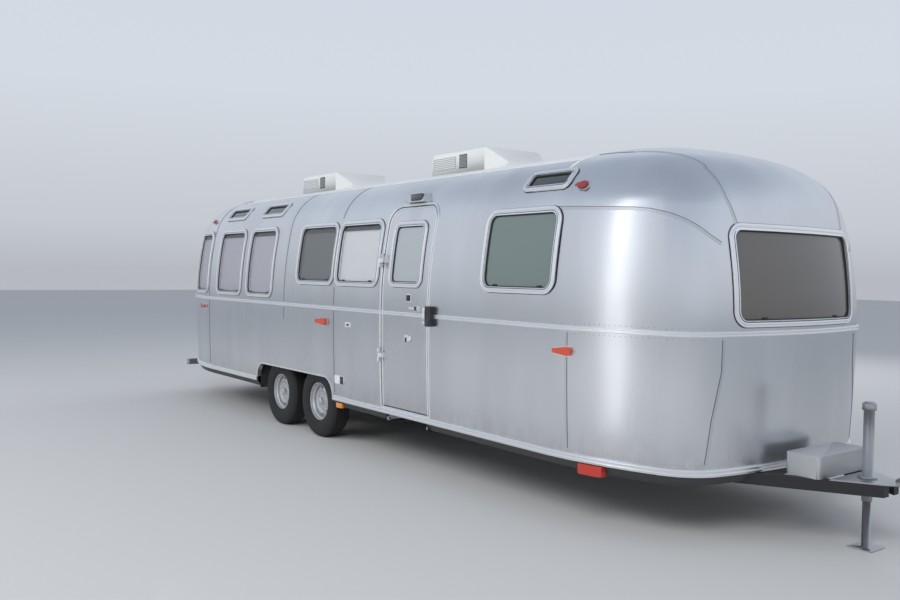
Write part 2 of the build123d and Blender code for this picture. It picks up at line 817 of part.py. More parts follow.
with BuildPart() as belly_pan:
    add(pan_form(0))
    add(pan_form(PAN_SHEET), mode=Mode.SUBTRACT)
    add(well_box(WELL_SHEET, RAIL_Z - 2 * PAN_DEPTH, RAIL_Z + 10), mode=Mode.SUBTRACT)
    add(wheel_opening(WELL_SHEET), mode=Mode.SUBTRACT)
    for name, x in AXLES:
        with Locations((x + AXLE_ARM, 0, axle_tube_z - PAN_DEPTH)):
            Box(AXLE_TUBE + 2 * AXLE_CLEAR, 2 * (WELL_INNER + WELL_SHEET), 2 * PAN_DEPTH, mode=Mode.SUBTRACT)
    add(frame_passage(3), mode=Mode.SUBTRACT)
    add(step_recess(2), mode=Mode.SUBTRACT)
belly_pan.part.label = "belly_pan"
export_step(belly_pan.part, "parts/belly_pan.step")

with BuildPart() as wheel_wells:
    add(well_box(WELL_SHEET, RAIL_Z - PAN_DEPTH, RAIL_Z + WELL_HEIGHT + WELL_SHEET))
    add(well_box(0, RAIL_Z - 2 * PAN_DEPTH, RAIL_Z + WELL_HEIGHT), mode=Mode.SUBTRACT)
    for side in (KERB, OFF):
        for name, x in AXLES:
            with Locations((x + AXLE_ARM, side * WELL_INNER, axle_tube_z)):
                Box(AXLE_TUBE + 2 * PASSAGE_CLEAR, 10 * WELL_SHEET, AXLE_TUBE + 2 * PASSAGE_CLEAR, mode=Mode.SUBTRACT)
wheel_wells.part.label = "wheel_wells"
export_step(wheel_wells.part, "parts/wheel_wells.step")

with BuildPart() as wheel_arch_trims:
    add(wheel_opening(0))
    add(wheel_opening(-WELL_TRIM), mode=Mode.SUBTRACT)
wheel_arch_ring = wheel_arch_trims.part
with BuildPart() as wheel_arch_trims:
    for side in (KERB, OFF):
        add(wall_band(side, -WELL_TRIM_PROUD, WALL, rear_joint_x, front_joint_x))
    add(wheel_arch_ring, mode=Mode.INTERSECT)
wheel_arch_trims.part.label = "wheel_arch_trims"
export_step(wheel_arch_trims.part, "parts/wheel_arch_trims.step")

# Chassis: frame rails, A-frame, coupler, jack and bumper

with BuildPart() as frame_rails:
    for side in (KERB, OFF):
        back, front = rear_joint_x, nose_x - A_START
        with Locations(((back + front) / 2, side * RAIL_SPREAD, (RAIL_Z + rail_low) / 2)):
            Box(front - back, RAIL_TUBE, RAIL_Z - rail_low)
        add(bumper_arm(side, 0))
    for name, x in AXLES:
        with Locations((x + AXLE_ARM, 0, axle_tube_z - PAN_DEPTH)):
            Box(AXLE_TUBE, 4 * RAIL_SPREAD, AXLE_TUBE + 2 * PAN_DEPTH, mode=Mode.SUBTRACT)
frame_rails.part.label = "frame_rails"
export_step(frame_rails.part, "parts/frame_rails.step")

with BuildPart() as a_frame:
    for side in (KERB, OFF):
        add(a_member(side, 0))
a_frame.part.label = "a_frame"
export_step(a_frame.part, "parts/a_frame.step")

jack_x = overall_length / 2 - JACK_BACK
jack_top = rail_top + JACK_HEAD
plate_back = jack_x - PLATE_BACK
plate_front = coupler_back + PLATE_FRONT
socket_x = overall_length / 2 - SOCKET_BACK
with BuildPart() as hitch_coupler:
    with BuildSketch(Plane.XY.offset(rail_top)):
        with BuildLine():
            slope = (RAIL_SPREAD - A_TUBE) / (coupler_back - nose_x + A_START)
            wide = A_TUBE * 1.5 + slope * (coupler_back - plate_back)
            Polyline(
                (plate_back, -wide), (coupler_back, -1.5 * A_TUBE), (plate_front, -PLATE_NOSE),
                (plate_front, PLATE_NOSE), (coupler_back, 1.5 * A_TUBE), (plate_back, wide), close=True,
            )
        make_face()
    extrude(amount=TONGUE_PLATE)
    with Locations((socket_x - COUPLER_NECK / 2 + BALL_SOCKET, 0, rail_top + SOCKET_BACK / 2)):
        Box(COUPLER_NECK, COUPLER_WIDE, SOCKET_BACK)
    with Locations((socket_x, 0, rail_top + (SOCKET_BACK - COUPLER_FLANGE) / 2)):
        Cylinder(SOCKET_BACK, SOCKET_BACK + COUPLER_FLANGE)
    chamfer(hitch_coupler.faces().sort_by(Axis.Z)[-1].edges(), COUPLER_EDGE)
    with Locations((socket_x, 0, rail_top)):
        Cylinder(BALL_SOCKET, SOCKET_ROOM, mode=Mode.SUBTRACT)
    with Locations((socket_x, 0, rail_top + SOCKET_ROOM / 2)):
        Sphere(BALL_SOCKET, mode=Mode.SUBTRACT)
    with Locations((jack_x, 0, rail_top)):
        Cylinder(JACK_TUBE + RUNNING_GAP, 6 * TONGUE_PLATE, mode=Mode.SUBTRACT)
hitch_coupler.part.label = "hitch_coupler"
export_step(hitch_coupler.part, "parts/hitch_coupler.step")

with BuildPart() as jack_tube:
    tube_length = jack_top - rail_low + JACK_BELOW
    with Locations((jack_x, 0, jack_top - tube_length / 2)):
        Cylinder(JACK_TUBE, tube_length)
    with Locations((jack_x, 0, rail_top + TONGUE_PLATE + JACK_COLLAR_THICK / 2)):
        Cylinder(JACK_COLLAR, JACK_COLLAR_THICK)
    with Locations((jack_x, 0, jack_top + JACK_CAP_HEIGHT / 2)):
        Cylinder(JACK_CAP, JACK_CAP_HEIGHT)
    chamfer(jack_tube.faces().sort_by(Axis.Z)[-1].edges(), COUPLER_EDGE)
    with Locations((jack_x, 0, jack_top - tube_length / 2)):
        Cylinder(JACK_RAM + RUNNING_GAP, tube_length, mode=Mode.SUBTRACT)
jack_tube.part.label = "jack_tube"
export_step(jack_tube.part, "parts/jack_tube.step")

with BuildPart() as jack_leg:
    with Locations((jack_x, 0, JACK_SHOE / 2)):
        Box(JACK_FOOT, JACK_FOOT, JACK_SHOE)
    with Locations((jack_x, 0, JACK_SHOE + JACK_RAM_LENGTH / 2)):
        Cylinder(JACK_RAM, JACK_RAM_LENGTH)
jack_leg.part.label = "jack_leg"
export_step(jack_leg.part, "parts/jack_leg.step")

with BuildPart() as battery_box:
    with Locations((nose_x + BATTERY_AHEAD, 0, rail_top + BATTERY_BOX[2] / 2)):
        Box(*BATTERY_BOX)
    fillet(battery_box.edges().filter_by(Axis.Z), CORNER_ROUND)
battery_box.part.label = "battery_box"
export_step(battery_box.part, "parts/battery_box.step")

with BuildPart() as rear_bumper:
    with Locations((-overall_length / 2 + BUMPER_THICK / 2, 0, rail_mid)):
        Box(BUMPER_THICK, SHELL_WIDTH - 2 * BUMPER_INSET, rail_top - rail_low)
    fillet(rear_bumper.edges().filter_by(Axis.Z), CORNER_ROUND)
rear_bumper.part.label = "rear_bumper"
export_step(rear_bumper.part, "parts/rear_bumper.step")

# Axles and wheels

with BuildPart() as axles:
    for name, x in AXLES:
        with Locations((x + AXLE_ARM, 0, axle_tube_z)):
            Box(AXLE_TUBE, 2 * (ARM_Y - ARM_THICK / 2), AXLE_TUBE)
        for side in (KERB, OFF):
            tilt = degrees(atan2(AXLE_DROP, AXLE_ARM))
            length = hypot(AXLE_DROP, AXLE_ARM)
            arm = (x + AXLE_ARM / 2, side * ARM_Y, axle_tube_z - AXLE_DROP / 2)
            with Locations(Location(arm, (0, -tilt, 0))):
                Box(length, ARM_THICK, ARM_HEIGHT)
            for end in ((x, side * ARM_Y, TYRE_RADIUS), (x + AXLE_ARM, side * ARM_Y, axle_tube_z)):
                with Locations(Location(end, (90, 0, 0))):
                    Cylinder(ARM_HEIGHT / 2, ARM_THICK)
            spindle_end = TRACK / 2 + ARM_HEIGHT / 2
            spindle_start = ARM_Y + ARM_THICK / 2
            with Locations(Location((x, side * (spindle_start + spindle_end) / 2, TYRE_RADIUS), (90, 0, 0))):
                Cylinder(SPINDLE_RADIUS, spindle_end - spindle_start)
axles.part.label = "axles"
export_step(axles.part, "parts/axles.step")


def wheel_plane(x, side):
    """Plane of a wheel, with its normal pointing out of the caravan."""
    return Plane(origin=(x, side * TRACK / 2, TYRE_RADIUS), x_dir=(1, 0, 0), z_dir=(0, side, 0))


def make_tyre(plane):
    """Tyre turned about the wheel's axis."""
    half = TYRE_WIDTH / 2
    with BuildPart() as tyre:
        with BuildSketch(Plane(origin=plane.origin, x_dir=plane.x_dir, z_dir=plane.z_dir.cross(plane.x_dir))):
            with BuildLine():
                Polyline(
                    (RIM_RADIUS, half - BEAD_INSET), (RIM_RADIUS, BEAD_INSET - half),
                    (TYRE_RADIUS - TYRE_CHEEK, -half), (TYRE_RADIUS, -TYRE_TREAD),
                    (TYRE_RADIUS, TYRE_TREAD), (TYRE_RADIUS - TYRE_CHEEK, half), close=True,
                )
            make_face()
        revolve(axis=Axis(plane.origin, plane.z_dir))
    return tyre.part


def make_rim(plane):
    """Steel rim with a dished disc, bored for the spindle."""
    half = TYRE_WIDTH / 2 - BEAD_INSET
    with BuildPart() as rim:
        with BuildSketch(plane.offset(-half)):
            Circle(RIM_RADIUS)
            Circle(RIM_RADIUS - RIM_SHEET, mode=Mode.SUBTRACT)
        extrude(amount=2 * half)
        with BuildSketch(plane.offset(WHEEL_DISH)):
            Circle(RIM_RADIUS - RIM_SHEET / 2)
        extrude(amount=DISC_THICK)
        with BuildSketch(plane.offset(-HUB_BACK)):
            Circle(HUB_RADIUS)
        extrude(amount=HUB_BACK + HUB_FRONT)
        with BuildSketch(plane.offset(-HUB_BACK)):
            Circle(SPINDLE_RADIUS + RUNNING_GAP)
        extrude(amount=2 * HUB_BACK, mode=Mode.SUBTRACT)
    return rim.part


SIDE_NAMES = {KERB: "kerb", OFF: "off"}
for name, x in AXLES:
    for side in (KERB, OFF):
        tyre = make_tyre(wheel_plane(x, side))
        tyre.label = f"tyre_{name}_{SIDE_NAMES[side]}"
        export_step(tyre, f"parts/{tyre.label}.step")
        rim = make_rim(wheel_plane(x, side))
        rim.label = f"rim_{name}_{SIDE_NAMES[side]}"
        export_step(rim, f"parts/{rim.label}.step")

# Entry door in its frame

with BuildPart() as door_frame:
    add(wall_band(KERB, -FRAME_LIP, WALL, rear_joint_x, front_joint_x))
    add(doorway(0), mode=Mode.INTERSECT)
    add(doorway(-JAMB), mode=Mode.SUBTRACT)
door_frame.part.label = "door_frame"
export_step(door_frame.part, "parts/door_frame.step")

door_window_z = belt_z + DOOR_WINDOW_RISE + DOOR_WINDOW_HEIGHT / 2
DOOR_OUTLINE = (DOOR_WINDOW_WIDTH, DOOR_WINDOW_HEIGHT, DOOR_WINDOW_CORNER)


def door_window_prism(width, height, corner):
    """Prism through the door's window."""
    return side_prism(KERB, door_mid_x, door_window_z, width, height, corner)


with BuildPart() as door_panel:
    add(wall_band(KERB, 0, WALL - 4, rear_joint_x, front_joint_x))
    add(doorway(-JAMB - DOOR_GAP), mode=Mode.INTERSECT)
    add(door_window_prism(*DOOR_OUTLINE), mode=Mode.SUBTRACT)
door_panel.part.label = "door_panel"
export_step(door_panel.part, "parts/door_panel.step")

door_band = wall_band(KERB, -FRAME_PROUD, WALL - 4, rear_joint_x, front_joint_x)
door_window_frame_part = window_ring(door_band, door_window_prism, DOOR_OUTLINE)
door_window_frame_part.label = "door_window_frame"
export_step(door_window_frame_part, "parts/door_window_frame.step")

door_glass_part = window_pane(glass_bands[KERB], door_window_prism, DOOR_OUTLINE)
door_glass_part.label = "door_glass"
export_step(door_glass_part, "parts/door_glass.step")

# Fittings on the door: distance from the nose, rise over the belt, length, height, seat and proud
DoorPiece = namedtuple("DoorPiece", "distance rise length height seat proud")
leaf_rear = DOOR_REAR - JAMB - DOOR_GAP
leaf_front = DOOR_REAR - DOOR_WIDTH + JAMB + DOOR_GAP
latch_rear = leaf_front + 2 + LATCH_WIDTH
LATCH_PIECES = [
    DoorPiece(latch_rear - LATCH_WIDTH / 2, 0, LATCH_WIDTH, LATCH_HEIGHT, 0, LATCH_PROUD),
    DoorPiece(latch_rear - LATCH_WIDTH / 2, 4, 32, 92, LATCH_PROUD, PADDLE_PROUD),
    DoorPiece(2705, 55, 40, 40, 0, 16),
    DoorPiece(2755, 55, 130, 14, 16, 24),
    DoorPiece(2848, 138, 66, 66, 0, 7),
    DoorPiece(2848, 138, 30, 30, 7, 12),
    DoorPiece(2862, -200, 96, 40, 0, 9),
    DoorPiece(2862, -200, 40, 56, 0, 20),
]


def door_piece(piece, seat_band):
    """Block on the door or beside it, let in to the skin of the seat band."""
    with BuildPart() as block:
        depth = piece.proud - piece.seat + (WALL if piece.seat == 0 else 0)
        y = -half_width - piece.proud + depth / 2
        with Locations((from_nose(piece.distance), y, belt_z + piece.rise)):
            Box(piece.length, depth, piece.height)
        add(seat_band, mode=Mode.SUBTRACT)
    return block.part


with BuildPart() as door_moulding:
    with Locations((from_nose((leaf_rear + latch_rear + 2) / 2), -half_width - BELT_PROUD / 2, belt_z)):
        Box(leaf_rear - latch_rear - 2, BELT_PROUD, BELT_HEIGHT)
door_moulding.part.label = "door_moulding"
export_step(door_moulding.part, "parts/door_moulding.step")

door_seat = wall_band(KERB, 0, SEAT_DEPTH, rear_joint_x, front_joint_x)
frame_seat = wall_band(KERB, -FRAME_LIP, SEAT_DEPTH, rear_joint_x, front_joint_x)
with BuildPart() as door_latch:
    for piece in LATCH_PIECES:
        add(door_piece(piece, door_seat))
door_latch.part.label = "door_latch"
export_step(door_latch.part, "parts/door_latch.step")

lock = DoorPiece(LOCK_FRONT + LOCK_WIDTH / 2, 0, LOCK_WIDTH, LOCK_HEIGHT, 0, LOCK_PROUD)
with BuildPart() as lock_box:
    add(door_piece(lock, door_seat))
    fillet(lock_box.edges().filter_by(Axis.Y), LOCK_ROUND)
    add(door_frame.part, mode=Mode.SUBTRACT)
lock_box.part.label = "lock_box"
export_step(lock_box.part, "parts/lock_box.step")

hinge_x = from_nose(DOOR_REAR) + JAMB + DOOR_GAP / 2
hinge_y = -half_width - HINGE_STAND
KNUCKLE = HINGE_HEIGHT / 3


def hinge_lug(z, height, reach, bore, seat):
    """Knuckle round the hinge pin with its arm to the seat, on one side of the pin."""
    with BuildPart() as lug:
        with Locations((hinge_x, hinge_y, z)):
            Cylinder(HINGE_RADIUS, height)
        with Locations((hinge_x + reach / 2, hinge_y + LUG_DEPTH / 2, z)):
            Box(abs(reach), LUG_DEPTH + HINGE_RADIUS, height)
        add(seat, mode=Mode.SUBTRACT)
        if bore:
            with Locations((hinge_x, hinge_y, z)):
                Cylinder(HINGE_PIN + RUNNING_GAP, height, mode=Mode.SUBTRACT)
    return lug.part


with BuildPart() as door_hinge_leaves:
    for rise in HINGE_RISES:
        add(hinge_lug(RAIL_Z + rise, KNUCKLE - 1, HINGE_LEAF, True, door_seat))
door_hinge_leaves.part.label = "door_hinge_leaves"
export_step(door_hinge_leaves.part, "parts/door_hinge_leaves.step")

with BuildPart() as body_hinge_leaves:
    for rise in HINGE_RISES:
        for step in (-1, 1):
            add(hinge_lug(RAIL_Z + rise + step * KNUCKLE, KNUCKLE, -JAMB - DOOR_GAP / 2, False, frame_seat))
        with Locations((hinge_x, hinge_y, RAIL_Z + rise)):
            Cylinder(HINGE_PIN, KNUCKLE)
body_hinge_leaves.part.label = "body_hinge_leaves"
export_step(body_hinge_leaves.part, "parts/body_hinge_leaves.step")

# Folding step: side plates on the floor frame, and the tread on its two arms

step_y = -half_width + STEP_SETBACK
step_pivot_z = RAIL_Z - STEP_PIVOT_DROP
tread_y = step_y + STEP_FRONT + STEP_DEPTH / 2
tread_z = step_pivot_z + STEP_RISE
with BuildPart() as step_brackets:
    for end in (-1, 1):
        x = door_mid_x + end * (STEP_WIDTH + STEP_PLATE) / 2
        with Locations((x, step_y + (STEP_DEPTH - STEP_EASE) / 2, RAIL_Z - (PAN_DEPTH - STEP_ARM) / 2)):
            Box(STEP_PLATE, STEP_DEPTH - STEP_EASE, PAN_DEPTH - STEP_ARM)
        pin = (x - end * (STEP_PLATE + STEP_PIN), step_y + STEP_PIVOT_SET, step_pivot_z)
        with Locations(Location(pin, (0, 90, 0))):
            Cylinder(STEP_PIN, STEP_PLATE + 3 * STEP_PIN)
step_brackets.part.label = "step_brackets"
export_step(step_brackets.part, "parts/step_brackets.step")

with BuildPart() as entry_step:
    with Locations((door_mid_x, tread_y, tread_z)):
        Box(STEP_WIDTH - STEP_SIDE, STEP_DEPTH - STEP_EASE, STEP_TREAD)
    for end in (-1, 1):
        x = door_mid_x + end * (STEP_WIDTH / 2 - STEP_EASE + STEP_PIN)
        with Locations((x, step_y + STEP_PIVOT_SET + STEP_DEPTH / 2, step_pivot_z + STEP_RISE / 2)):
            Box(STEP_ARM, STEP_DEPTH, STEP_RISE + STEP_EASE)
        with Locations(Location((x, step_y + STEP_PIVOT_SET, step_pivot_z), (0, 90, 0))):
            Cylinder(STEP_EYE, STEP_ARM)
            Cylinder(STEP_PIN + RUNNING_GAP, 4 * STEP_ARM, mode=Mode.SUBTRACT)
        with Locations((door_mid_x + end * (STEP_WIDTH - STEP_SIDE) / 2, tread_y, tread_z)):
            Box(4 * STEP_ARM, STEP_DEPTH - STEP_EASE, STEP_TREAD)
entry_step.part.label = "entry_step"
export_step(entry_step.part, "parts/entry_step.step")

# Roof units: a hood with a sloped, tapered front, let in to the crown


def unit_hood(distance):
    """One roof unit's hood, with its foot flat."""
    front, rear = UNIT_LENGTH / 2, -UNIT_LENGTH / 2
    brow = front - UNIT_SLOPE
    with BuildPart() as hood:
        with BuildSketch(Plane.XZ.offset(-UNIT_WIDTH / 2)) as profile:
            with BuildLine(Location((from_nose(distance), roof_z))):
                Polyline(
                    (front, -UNIT_FOOT), (front, UNIT_LIP), (brow, UNIT_HEIGHT),
                    (rear, UNIT_HEIGHT), (rear, -UNIT_FOOT), close=True,
                )
            make_face()
            fillet(profile.vertices().sort_by(Axis.X)[:2].sort_by(Axis.Y)[-1], UNIT_CORNER)
        extrude(amount=UNIT_WIDTH)
        with BuildSketch(Plane.XY.offset(roof_z - UNIT_FOOT)):
            with BuildLine(Location((from_nose(distance), 0))):
                half = UNIT_WIDTH / 2
                Polyline(
                    (rear, -half), (brow, -half), (front, UNIT_TAPER - half),
                    (front, half - UNIT_TAPER), (brow, half), (rear, half), close=True,
                )
            make_face()
        extrude(amount=UNIT_HEIGHT + UNIT_FOOT, mode=Mode.INTERSECT)
        top = hood.faces().sort_by(Axis.Z)[-1]
        chamfer(top.edges().filter_by(Axis.X), UNIT_EDGE)
    return hood.part


with BuildPart() as air_conditioners:
    for distance in ROOF_UNITS:
        add(unit_hood(distance))
    with Locations(Location((middle_x, 0, CROWN.centre_z), (0, 90, 0))):
        Cylinder(CROWN.radius, SHELL_LENGTH, mode=Mode.SUBTRACT)
air_conditioners.part.label = "air_conditioners"
export_step(air_conditioners.part, "parts/air_conditioners.step")

# Lamps and hatches on the skin

# Distance behind the nose, rise over the rail, length and height
Fitting = namedtuple("Fitting", "distance rise length height")
AMBER_LAMPS = [Fitting(1020, 680, 160, 60), Fitting(1015, 1800, 90, 50), Fitting(4365, 700, 210, 64)]
RED_LAMPS = [Fitting(7480, 730, 160, 60), Fitting(7485, 1800, 90, 50)]
TAIL_LAMP = Fitting(SHELL_LENGTH, 330, 90, 210)
SKIRT_LAMP_AHEAD = 105.0
SKIRT_LAMPS = {"amber": Fitting(WELL_FRONT - SKIRT_LAMP_AHEAD, -88, 150, 70), "red": Fitting(800, -88, 180, 70)}
PORCH_LAMP = Fitting(2950, 1825, 265, 84)
HATCH_AHEAD = 130.0
HATCHES = [
    (KERB, Fitting(WELL_FRONT - HATCH_AHEAD, 160, 170, 80)),
    (OFF, Fitting(3300, 250, 330, 260)),
    (OFF, Fitting(6900, 160, 170, 80)),
]
CATCH = Fitting(3845, 694, 96, 44)


def teardrop_prism(lamp, margin=0.0):
    """Prism across the body with a round front and a narrow tail, larger by the margin."""
    nose = lamp.height / 2
    with BuildPart() as prism:
        with BuildSketch(Plane.XZ.offset(-half_width - WALL)):
            with Locations((from_nose(lamp.distance), RAIL_Z + lamp.rise)):
                with Locations((lamp.length / 2 - nose, 0)):
                    Circle(nose + margin)
                with Locations((nose / 2 - lamp.length / 2, 0)):
                    Circle(nose / 2 + margin)
            make_hull()
        extrude(amount=SHELL_WIDTH + 2 * WALL)
    return prism.part


def on_end(prism, inner, outer):
    """Pieces of a prism between two outsets of the front end."""
    with BuildPart() as pieces:
        add(prism)
        add(cap_form(-outer), mode=Mode.INTERSECT)
        add(cap_form(-inner), mode=Mode.SUBTRACT)
    return pieces.part


def lamp_pieces(lamp, margin, inner, outer):
    """A teardrop lamp's layer on both sides of the body, wherever it stands along it."""
    if lamp.distance < CAP_DEPTH:
        return on_end(teardrop_prism(lamp, margin), inner, outer)
    if lamp.distance > SHELL_LENGTH - CAP_DEPTH:
        twin = lamp._replace(distance=SHELL_LENGTH - lamp.distance)
        return to_rear(on_end(teardrop_prism(twin, margin), inner, outer))
    with BuildPart() as pieces:
        for side in (KERB, OFF):
            add(wall_band(side, -outer, -inner, rear_joint_x, front_joint_x))
        add(teardrop_prism(lamp, margin), mode=Mode.INTERSECT)
    return pieces.part


def tail_lamps(margin, inner, outer):
    """Layer of the two tail lamps, which face back on the rear end."""
    with BuildPart() as prisms:
        with BuildSketch(Plane.YZ.offset(nose_x + WALL)):
            for side in (KERB, OFF):
                with Locations((side * TAIL_LAMP_SPREAD, RAIL_Z + TAIL_LAMP.rise)):
                    size = (TAIL_LAMP.length + margin, TAIL_LAMP.height + margin)
                    RectangleRounded(*size, TAIL_LAMP.length / 2.2)
        extrude(amount=-CAP_DEPTH / 2)
    return to_rear(on_end(prisms.part, inner, outer))


with BuildPart() as lamp_bases:
    for lamp in AMBER_LAMPS + RED_LAMPS:
        add(lamp_pieces(lamp, BASE_MARGIN, 0, LAMP_BASE))
    add(tail_lamps(2 * BASE_MARGIN, 0, LAMP_BASE))
lamp_bases.part.label = "lamp_bases"
export_step(lamp_bases.part, "parts/lamp_bases.step")

skirt_ring = perimeter_ring(rail_half, RAIL_PROUD + LAMP_BASE, -WALL, RAIL_Z - PAN_DEPTH, PAN_DEPTH - RAIL_HEIGHT)


def skirt_lamp(lamp):
    """Lamps under the bottom rail, one on each side, seated on the belly pan."""
    with BuildPart() as pieces:
        with Locations((from_nose(lamp.distance), 0, RAIL_Z + lamp.rise)):
            Box(lamp.length, 2 * SHELL_WIDTH, lamp.height)
        fillet(pieces.edges().filter_by(Axis.Y), SKIRT_LAMP_ROUND)
        add(skirt_ring, mode=Mode.INTERSECT)
        add(pan_form(0), mode=Mode.SUBTRACT)
    return pieces.part


with BuildPart() as amber_lenses:
    for lamp in AMBER_LAMPS:
        add(lamp_pieces(lamp, 0, LAMP_BASE, LAMP_PROUD))
    add(skirt_lamp(SKIRT_LAMPS["amber"]))
amber_lenses.part.label = "amber_lenses"
export_step(amber_lenses.part, "parts/amber_lenses.step")

with BuildPart() as red_lenses:
    for lamp in RED_LAMPS:
        add(lamp_pieces(lamp, 0, LAMP_BASE, LAMP_PROUD))
    add(tail_lamps(0, LAMP_BASE, LAMP_PROUD))
    add(skirt_lamp(SKIRT_LAMPS["red"]))
red_lenses.part.label = "red_lenses"
export_step(red_lenses.part, "parts/red_lenses.step")


def wall_fitting(side, fitting, corner, outer):
    """Rounded piece on a side wall, as proud as the outset."""
    centre = (from_nose(fitting.distance), RAIL_Z + fitting.rise)
    with BuildPart() as piece:
        add(wall_band(side, -outer, 0, rear_joint_x, front_joint_x))
        add(side_prism(side, *centre, fitting.length, fitting.height, corner), mode=Mode.INTERSECT)
    return piece.part


with BuildPart() as porch_lamp:
    add(wall_fitting(KERB, PORCH_LAMP, CORNER_ROUND, PORCH_PROUD))
    outer_edges = porch_lamp.faces().sort_by(Axis.Y)[0].edges()
    chamfer(outer_edges, 8)
porch_lamp.part.label = "porch_lamp"
export_step(porch_lamp.part, "parts/porch_lamp.step")

with BuildPart() as service_hatches:
    for side, hatch in HATCHES:
        add(wall_fitting(side, hatch, LOCK_ROUND, HATCH_PROUD))
service_hatches.part.label = "service_hatches"
export_step(service_hatches.part, "parts/service_hatches.step")

with BuildPart() as door_catch:
    add(wall_fitting(KERB, CATCH, 6, 2 * LAMP_BASE))
door_catch.part.label = "door_catch"
export_step(door_catch.part, "parts/door_catch.step")
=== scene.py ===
"""Looks of a riveted aluminium travel caravan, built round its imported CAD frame.

Lengths are in metres and angles in degrees. The body's form, from which seams, rivets,
beads and the skin's normals are worked out, is the same set of arcs as in the part's source.
A distance behind is measured back from the nose, and a rise is measured up from the rail.
"""
import logging
import math
from dataclasses import dataclass, field
from enum import Enum
from typing import Callable, Iterable, Optional, Sequence

import bmesh
import bpy
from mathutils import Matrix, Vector
from mathutils.bvhtree import BVHTree


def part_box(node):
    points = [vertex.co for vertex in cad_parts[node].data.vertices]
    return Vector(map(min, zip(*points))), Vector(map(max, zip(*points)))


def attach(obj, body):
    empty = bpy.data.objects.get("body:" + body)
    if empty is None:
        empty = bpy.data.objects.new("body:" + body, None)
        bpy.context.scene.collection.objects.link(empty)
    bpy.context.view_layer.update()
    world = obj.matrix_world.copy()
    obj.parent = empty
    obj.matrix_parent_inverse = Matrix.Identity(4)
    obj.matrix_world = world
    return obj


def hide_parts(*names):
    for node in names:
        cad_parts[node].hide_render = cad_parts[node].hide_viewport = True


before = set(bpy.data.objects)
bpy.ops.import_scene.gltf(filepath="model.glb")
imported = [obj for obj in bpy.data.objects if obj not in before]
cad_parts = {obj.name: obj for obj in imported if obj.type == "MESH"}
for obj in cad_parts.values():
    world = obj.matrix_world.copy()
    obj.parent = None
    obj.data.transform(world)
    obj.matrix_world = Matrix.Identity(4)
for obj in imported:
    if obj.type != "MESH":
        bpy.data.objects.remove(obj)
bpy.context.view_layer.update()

log = logging.getLogger("caravan")
Point = tuple[float, float]
Triple = tuple[float, float, float]
Test = Callable[[Vector], bool]
Object = bpy.types.Object
Node = bpy.types.Node
NodeTree = bpy.types.NodeTree
Socket = bpy.types.NodeSocket
ROOT = "caravan"
DOOR = "entry_door"
SHARP_ANGLE = 40.0
BLOCK_SHARP = 50.0
COPY_SHARP = 28.0
MERGE = 1e-6
CAD_MERGE = 1e-5
DOME_STEPS = 6
UP = Vector((0, 0, 1))


class Side(Enum):
    """Side of the caravan, by the sign of Y."""

    KERB = -1
    OFF = 1


# The body's form


@dataclass(frozen=True)
class Layout:
    """Distances behind the nose that several sub-assemblies share."""

    door_rear: float = 3.300
    door_width: float = 0.750
    well_front: float = 4.166
    well_rear: float = 5.894

    @property
    def door_front(self) -> float:
        """Distance of the door's front edge."""
        return self.door_rear - self.door_width


LAYOUT = Layout()


@dataclass(frozen=True)
class Arc:
    """One arc of the half section, with its normals' angles."""

    centre_y: float
    centre_z: float
    radius: float
    start: float
    end: float

    def at(self, angle: float) -> Point:
        """Half width and height at a normal's angle."""
        turn = math.radians(angle)
        return self.centre_y + self.radius * math.cos(turn), self.centre_z + self.radius * math.sin(turn)


